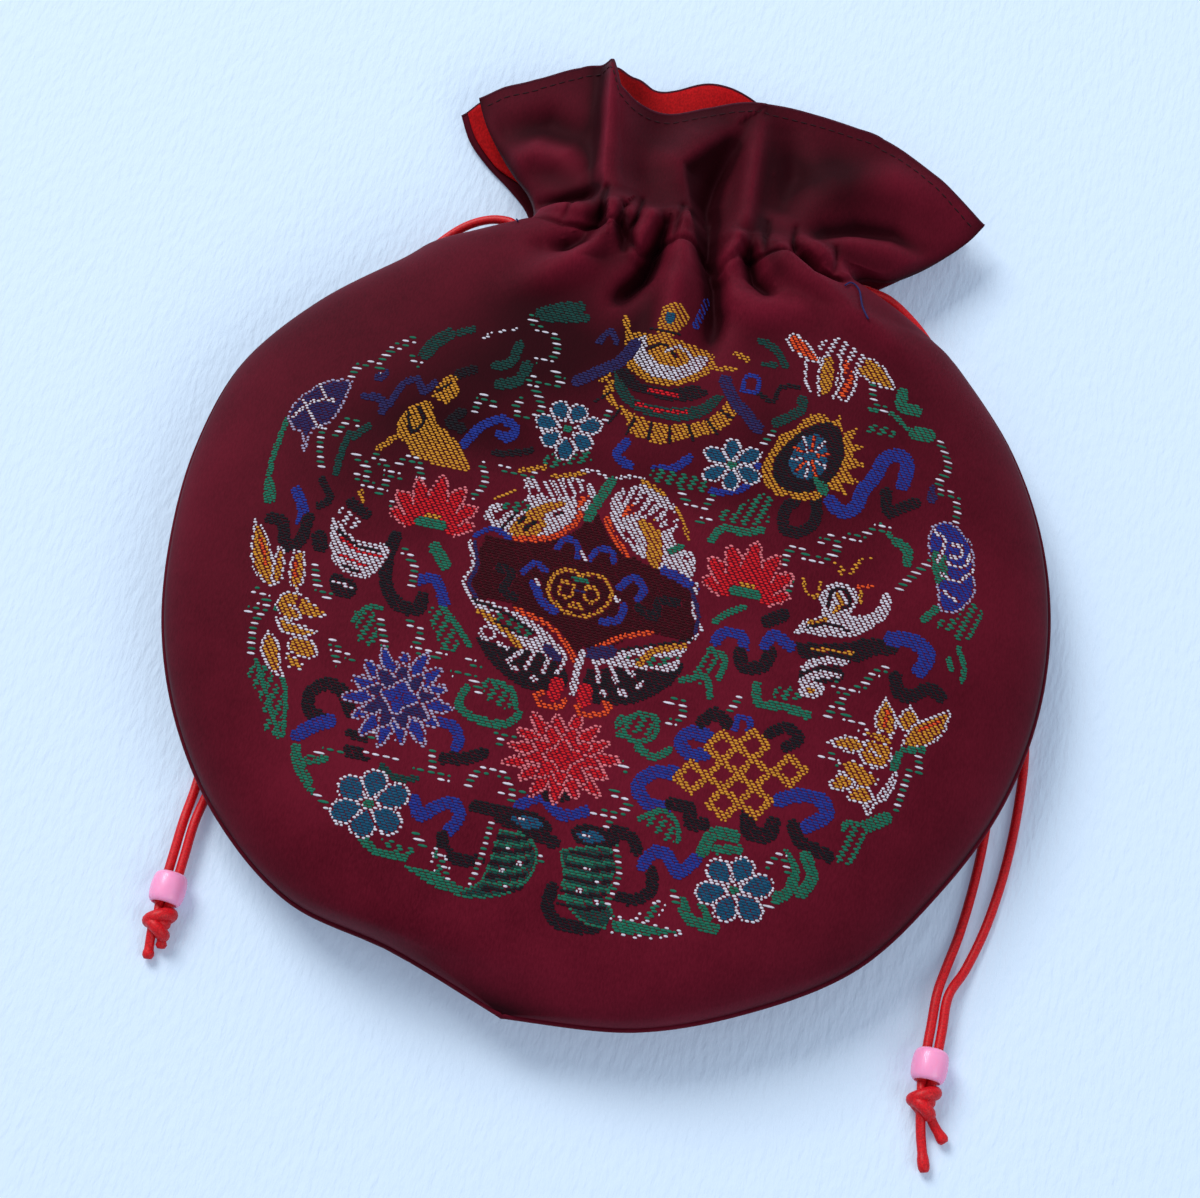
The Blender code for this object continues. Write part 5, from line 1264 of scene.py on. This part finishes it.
def thread_floats(chart):
    """Every float of the brocading threads: thread letter with its x, y and length."""
    floats = []
    for k, (row, line) in enumerate(zip(CHART_Y[:, 0], chart)):
        ends = np.flatnonzero(line[1:] != line[:-1]) + 1
        for start, end in zip(np.r_[0, ends], np.r_[ends, len(line)]):
            code = line[start]
            if code == ".":
                continue
            left, right = CHART_X[0, start], CHART_X[0, start] + (end - start) * CHART_STEP
            if code in "Vv":
                if k % 2:
                    continue
                code = "WE"[k // 2 % 2]
                if right - left < VINE_LONGEST:
                    floats.append((code, (left + right) / 2, row, right - left))
                    continue
                pitch, gap, shift = VINE_PITCH, VINE_GAP, VINE_STAGGER * (k % 5)
            else:
                pitch, gap, shift = FLOAT_PITCH, FLOAT_GAP if code in OPEN_THREADS else 0.0, STAGGER * k
            for cell in range(math.floor(left / pitch - shift), math.ceil(right / pitch - shift)):
                low = max(left, (cell + shift) * pitch)
                high = min(right, (cell + 1 + shift) * pitch - gap)
                if high - low > SHORTEST_FLOAT and (code.isupper() or (cell + k // 2) % 2):
                    floats.append((code.upper(), (low + high) / 2, row, high - low))
    return floats


def thread_piece(name, material, floats):
    """Piece of many small thread floats, each given as a place, two directions with sizes, and a rise."""
    template = bmesh.new()
    bmesh.ops.create_uvsphere(template, u_segments=5, v_segments=4, radius=0.5)
    ball = np.array([vert.co for vert in template.verts])[:, (2, 1, 0)]
    one = bpy.data.meshes.new("float")
    template.to_mesh(one)
    template.free()
    bm = bmesh.new()
    for _ in floats:
        bm.from_mesh(one)
    spots = [ball @ np.array((along, across, rise)) + np.array(place)
             for place, along, across, rise in floats]
    for vert, place in zip(bm.verts, np.concatenate(spots)):
        vert.co = place
    bpy.data.meshes.remove(one)
    return as_piece(name, bm, [material], "root")


def brocade(cloth):
    """Raised floats of every brocading thread, laid on the front satin where the photograph shows them."""
    eye = camera_place()
    shake = random.Random(5)
    laid = {code: [] for code in THREADS}
    for code, x, y, length in thread_floats(weaving_chart()):
        x += shake.uniform(-0.08, 0.08)
        toward = Vector((x, y + shake.uniform(-0.06, 0.06), MEDALLION_Z)) - eye
        hit, normal, _, _ = cloth.ray_cast(eye, toward.normalized())
        if hit is None:
            continue
        if normal.z < 0:
            normal = -normal
        along = (Vector((1, 0, 0)) - normal * normal.x).normalized()
        across = normal.cross(along)
        width = (FLOAT_WIDTH if code in OPEN_THREADS else CLOSE_WIDTH) * shake.uniform(0.92, 1.08)
        laid[code].append((hit + normal * FLOAT_LIFT, along * (length + FLOAT_OVERLAP),
                           across * width, normal * FLOAT_RISE))
    for code, (name, colour) in THREADS.items():
        thread_piece(f"{name}_brocading_thread", thread_material(name, colour), laid[code])


def hem_stitches(face, name, material):
    """Row of machine stitches a little below a rim."""
    marks = np.linspace(-0.985, 0.985, HEM_MARKS)
    down = np.linspace(LAST - 1.6, LAST, HEM_DEPTH_MARKS)
    grid = face(np.repeat(marks[:, None], HEM_DEPTH_MARKS, 1), np.repeat(down[None], HEM_MARKS, 0))
    below = np.linalg.norm(np.diff(grid, axis=1), axis=2)[:, ::-1].cumsum(axis=1)
    seam = np.array([line[::-1][1:][np.searchsorted(reach, HEM_DEPTH)] for line, reach in zip(grid, below)])
    run = np.concatenate(([0], np.linalg.norm(np.diff(seam, axis=0), axis=1).cumsum()))
    floats = []
    for start in np.arange(0.5, run[-1] - STITCH, STITCH):
        a, b = (Vector([np.interp(at, run, seam[:, k]) for k in range(3)])
                for at in (start, start + STITCH_SHARE * STITCH))
        along = (b - a).normalized()
        up = (Vector((0, 0, 1)) - along * along.z).normalized()
        floats.append(((a + b) / 2 + up * STITCH_LIFT, b - a, along.cross(up) * STITCH_WIDTH,
                       up * STITCH_RISE))
    thread_piece(name, material, floats)


def loose_threads(cloth, material):
    """Two loose threads that lie on the front satin where the photograph shows them."""
    bm = bmesh.new()
    bm.loops.layers.uv.new("along")
    eye = camera_place()
    for numbers in LOOSE_THREADS:
        line = rounded(numbers, False)
        rays = [cloth.ray_cast(eye, (Vector((x, y, MEDALLION_Z)) - eye).normalized()) for x, y in line]
        points = np.array([hit + normal * LOOSE_LIFT for hit, normal, _, _ in rays if hit])
        wrapped_tube(bm, points, np.full(len(points), LOOSE_RADIUS), 8)
    as_piece("loose_threads", bm, [material], "root")


def panel(name, face, grid, rows, inset, thickness, mat, node):
    """One sheet of cloth that replaces a node."""
    bm = cloth_grid(face, grid, *rows, inset)
    bmesh.ops.recalc_face_normals(bm, faces=bm.faces)
    up = sum(f.normal.z for f in bm.faces)
    if up < 0:
        bmesh.ops.reverse_faces(bm, faces=bm.faces)
    obj = as_piece(name, bm, [mat], "root")
    solidify(obj, thickness)
    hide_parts(node)


def edge_line(name, line_list, radius, mat):
    """Folded edge or seam that follows lines of points on a panel."""
    bm = bmesh.new()
    bm.loops.layers.uv.new("along")
    for line in line_list:
        wrapped_tube(bm, line, np.full(len(line), radius), 8)
    as_piece(name, bm, [mat], "root")


def along_side(face, rows, drop):
    """Line down the left side of a panel, round its bottom and up its right side."""
    rising = np.concatenate((np.linspace(0, 1, 60) ** 1.5 * 4, np.linspace(4, rows, 90)[1:]))
    left = face(np.full(len(rising), -1.0), rising)[::-1]
    right = face(np.full(len(rising), 1.0), rising)
    line = np.concatenate((left, right[1:]))
    line[:, 2] -= drop
    length = np.concatenate(([0], np.linalg.norm(np.diff(line, axis=0), axis=1).cumsum()))
    marks = np.linspace(0, length[-1], round(length[-1] / SEAM_STEP))
    return np.stack([np.interp(marks, length, line[:, k]) for k in range(3)], -1)


def rim_line(face):
    """Line along the rim of a panel, in the middle of its cloth."""
    across = np.linspace(-0.999, 0.999, EDGE_POINTS)
    return face(across, np.full(EDGE_POINTS, LAST - 0.001)) - (0, 0, OUTER_CLOTH / 2)


def towel_material():
    """Pale cotton towel with ribs that run the way the pouch is turned."""
    mat, tree, bsdf = new_material("pale_cotton_towel")
    place = add(tree, "ShaderNodeTexCoord").outputs["Object"]
    ribs = add(tree, "ShaderNodeMapping", Vector=place, Rotation=(0, 0, math.radians(CAMERA_TURN)),
               Scale=[per_metre(size) for size in TOWEL_PILE])
    pile = add(tree, "ShaderNodeTexNoise", Vector=ribs.outputs[0], Scale=1.0, Detail=3.0)
    bump = add(tree, "ShaderNodeBump", Height=pile.outputs[0], Strength=0.5, Distance=1.0 * MM)
    set_inputs(tree, bsdf, Normal=bump.outputs[0], Base_Color=linear("C6D6E4"), Roughness=1.0,
               Emission_Color=linear("C0D4FF"), Emission_Strength=0.2, Specular_IOR_Level=0.0)
    return mat


def floor_piece():
    """Broad floor under the pouch, for the picture only."""
    bm = bmesh.new()
    bmesh.ops.create_grid(bm, x_segments=2, y_segments=2, size=2.0)
    mesh = bpy.data.meshes.new("pale_floor")
    bm.to_mesh(mesh)
    bm.free()
    mesh.materials.append(towel_material())
    floor = bpy.data.objects.new("pale_floor", mesh)
    bpy.context.scene.collection.objects.link(floor)


def studio_world():
    """Pale light from all round, brighter where the camera or a reflection sees it."""
    world = bpy.data.worlds.new("pale_studio")
    bpy.context.scene.world = world
    world.use_nodes = True
    sky = world.node_tree
    ray = add(sky, "ShaderNodeLightPath")
    seen = ray.outputs["Is Camera Ray"]
    for kind in ("Is Glossy Ray", "Is Transmission Ray"):
        either = add(sky, "ShaderNodeMath", {"operation": "MAXIMUM"}, i0=seen, i1=ray.outputs[kind])
        seen = either.outputs[0]
    both = add(sky, "ShaderNodeMix", {"data_type": "FLOAT"}, i0=seen, i2=0.42, i3=1.0)
    back = sky.nodes["Background"]
    back.inputs["Color"].default_value = linear("E4F2FF")
    sky.links.new(both.outputs[0], back.inputs["Strength"])


def lamp(name, place, size, power, colour):
    """Square soft lamp that faces the pouch."""
    light = bpy.data.lights.new(name, "AREA")
    light.shape = "SQUARE"
    light.size = size
    light.energy = power
    light.color = linear(colour)[:3]
    obj = bpy.data.objects.new(name, light)
    bpy.context.scene.collection.objects.link(obj)
    obj.location = place
    obj.rotation_euler = Vector(place).to_track_quat("Z", "Y").to_euler()


def photo_camera():
    """Camera with the photograph's view."""
    data = bpy.data.cameras.new("camera")
    data.lens = CAMERA_LENS
    data.sensor_width = FILM_WIDTH
    camera = bpy.data.objects.new("camera", data)
    bpy.context.scene.collection.objects.link(camera)
    turn = Matrix(camera_axes()).transposed().to_4x4()
    camera.matrix_world = Matrix.Translation(camera_place() * MM) @ turn
    bpy.context.scene.camera = camera
    bpy.context.scene.view_settings.view_transform = "Standard"


# Materials
satin = satin_material()
red_cloth = lining_material()
red_cord = cord_material()
pink = bead_material()
seam_thread = thread_material("seam", "2A0C12")
edge_cloth = thread_material("turned_edge", "451020")

# Panels of cloth
panel("maroon_front_satin", satin_front, FRONT_GRID, (0, LAST), 0, OUTER_CLOTH, satin,
      "outer_front")
panel("maroon_back_satin", satin_back, BACK_GRID, (0, LAST), 0, OUTER_CLOTH, satin,
      "outer_back")
panel("red_front_lining", lining_front, BACK_GRID, LINING_ROWS, LINING_INSET, LINING_CLOTH, red_cloth,
      "lining_front")
panel("red_back_lining", lining_back, BACK_GRID, LINING_ROWS, COLLAR_LINING_INSET, LINING_CLOTH, red_cloth,
      "lining_back")

# Brocade and sewing on the satin
front_face = cloth_grid(satin_front, FRONT_GRID, 0, LAST, 0)
front_tree = BVHTree.FromBMesh(front_face)
front_face.free()
brocade(front_tree)
loose_threads(front_tree, bpy.data.materials["navy_silk_thread"])
edge_line("side_seam", [along_side(satin_front, BODY_ROWS + 5, OUTER_CLOTH + LAYER_GAP / 2)],
          SEAM_RADIUS, satin)
edge_line("turned_rims", [rim_line(satin_front), rim_line(satin_back)], RIM_RADIUS, edge_cloth)
hem_stitches(satin_front, "front_hem_stitches", seam_thread)

# Drawcords with their beads and knots
drawcord(1, "left", NECK_Y - TRACK_PITCH / 2, LEFT_STRANDS, LEFT_BEAD, LEFT_TAILS, red_cord, pink)
drawcord(-1, "right", NECK_Y + TRACK_PITCH / 2, RIGHT_STRANDS, RIGHT_BEAD, RIGHT_TAILS, red_cord, pink)

# Floor, light and camera
floor_piece()
studio_world()
lamp("window", (-1.8, 1.8, 2.6), 1.8, 112.0, "FFFFFF")
lamp("fill", (1.8, -1.1, 1.8), 1.6, 22.0, "F4F8FF")
photo_camera()
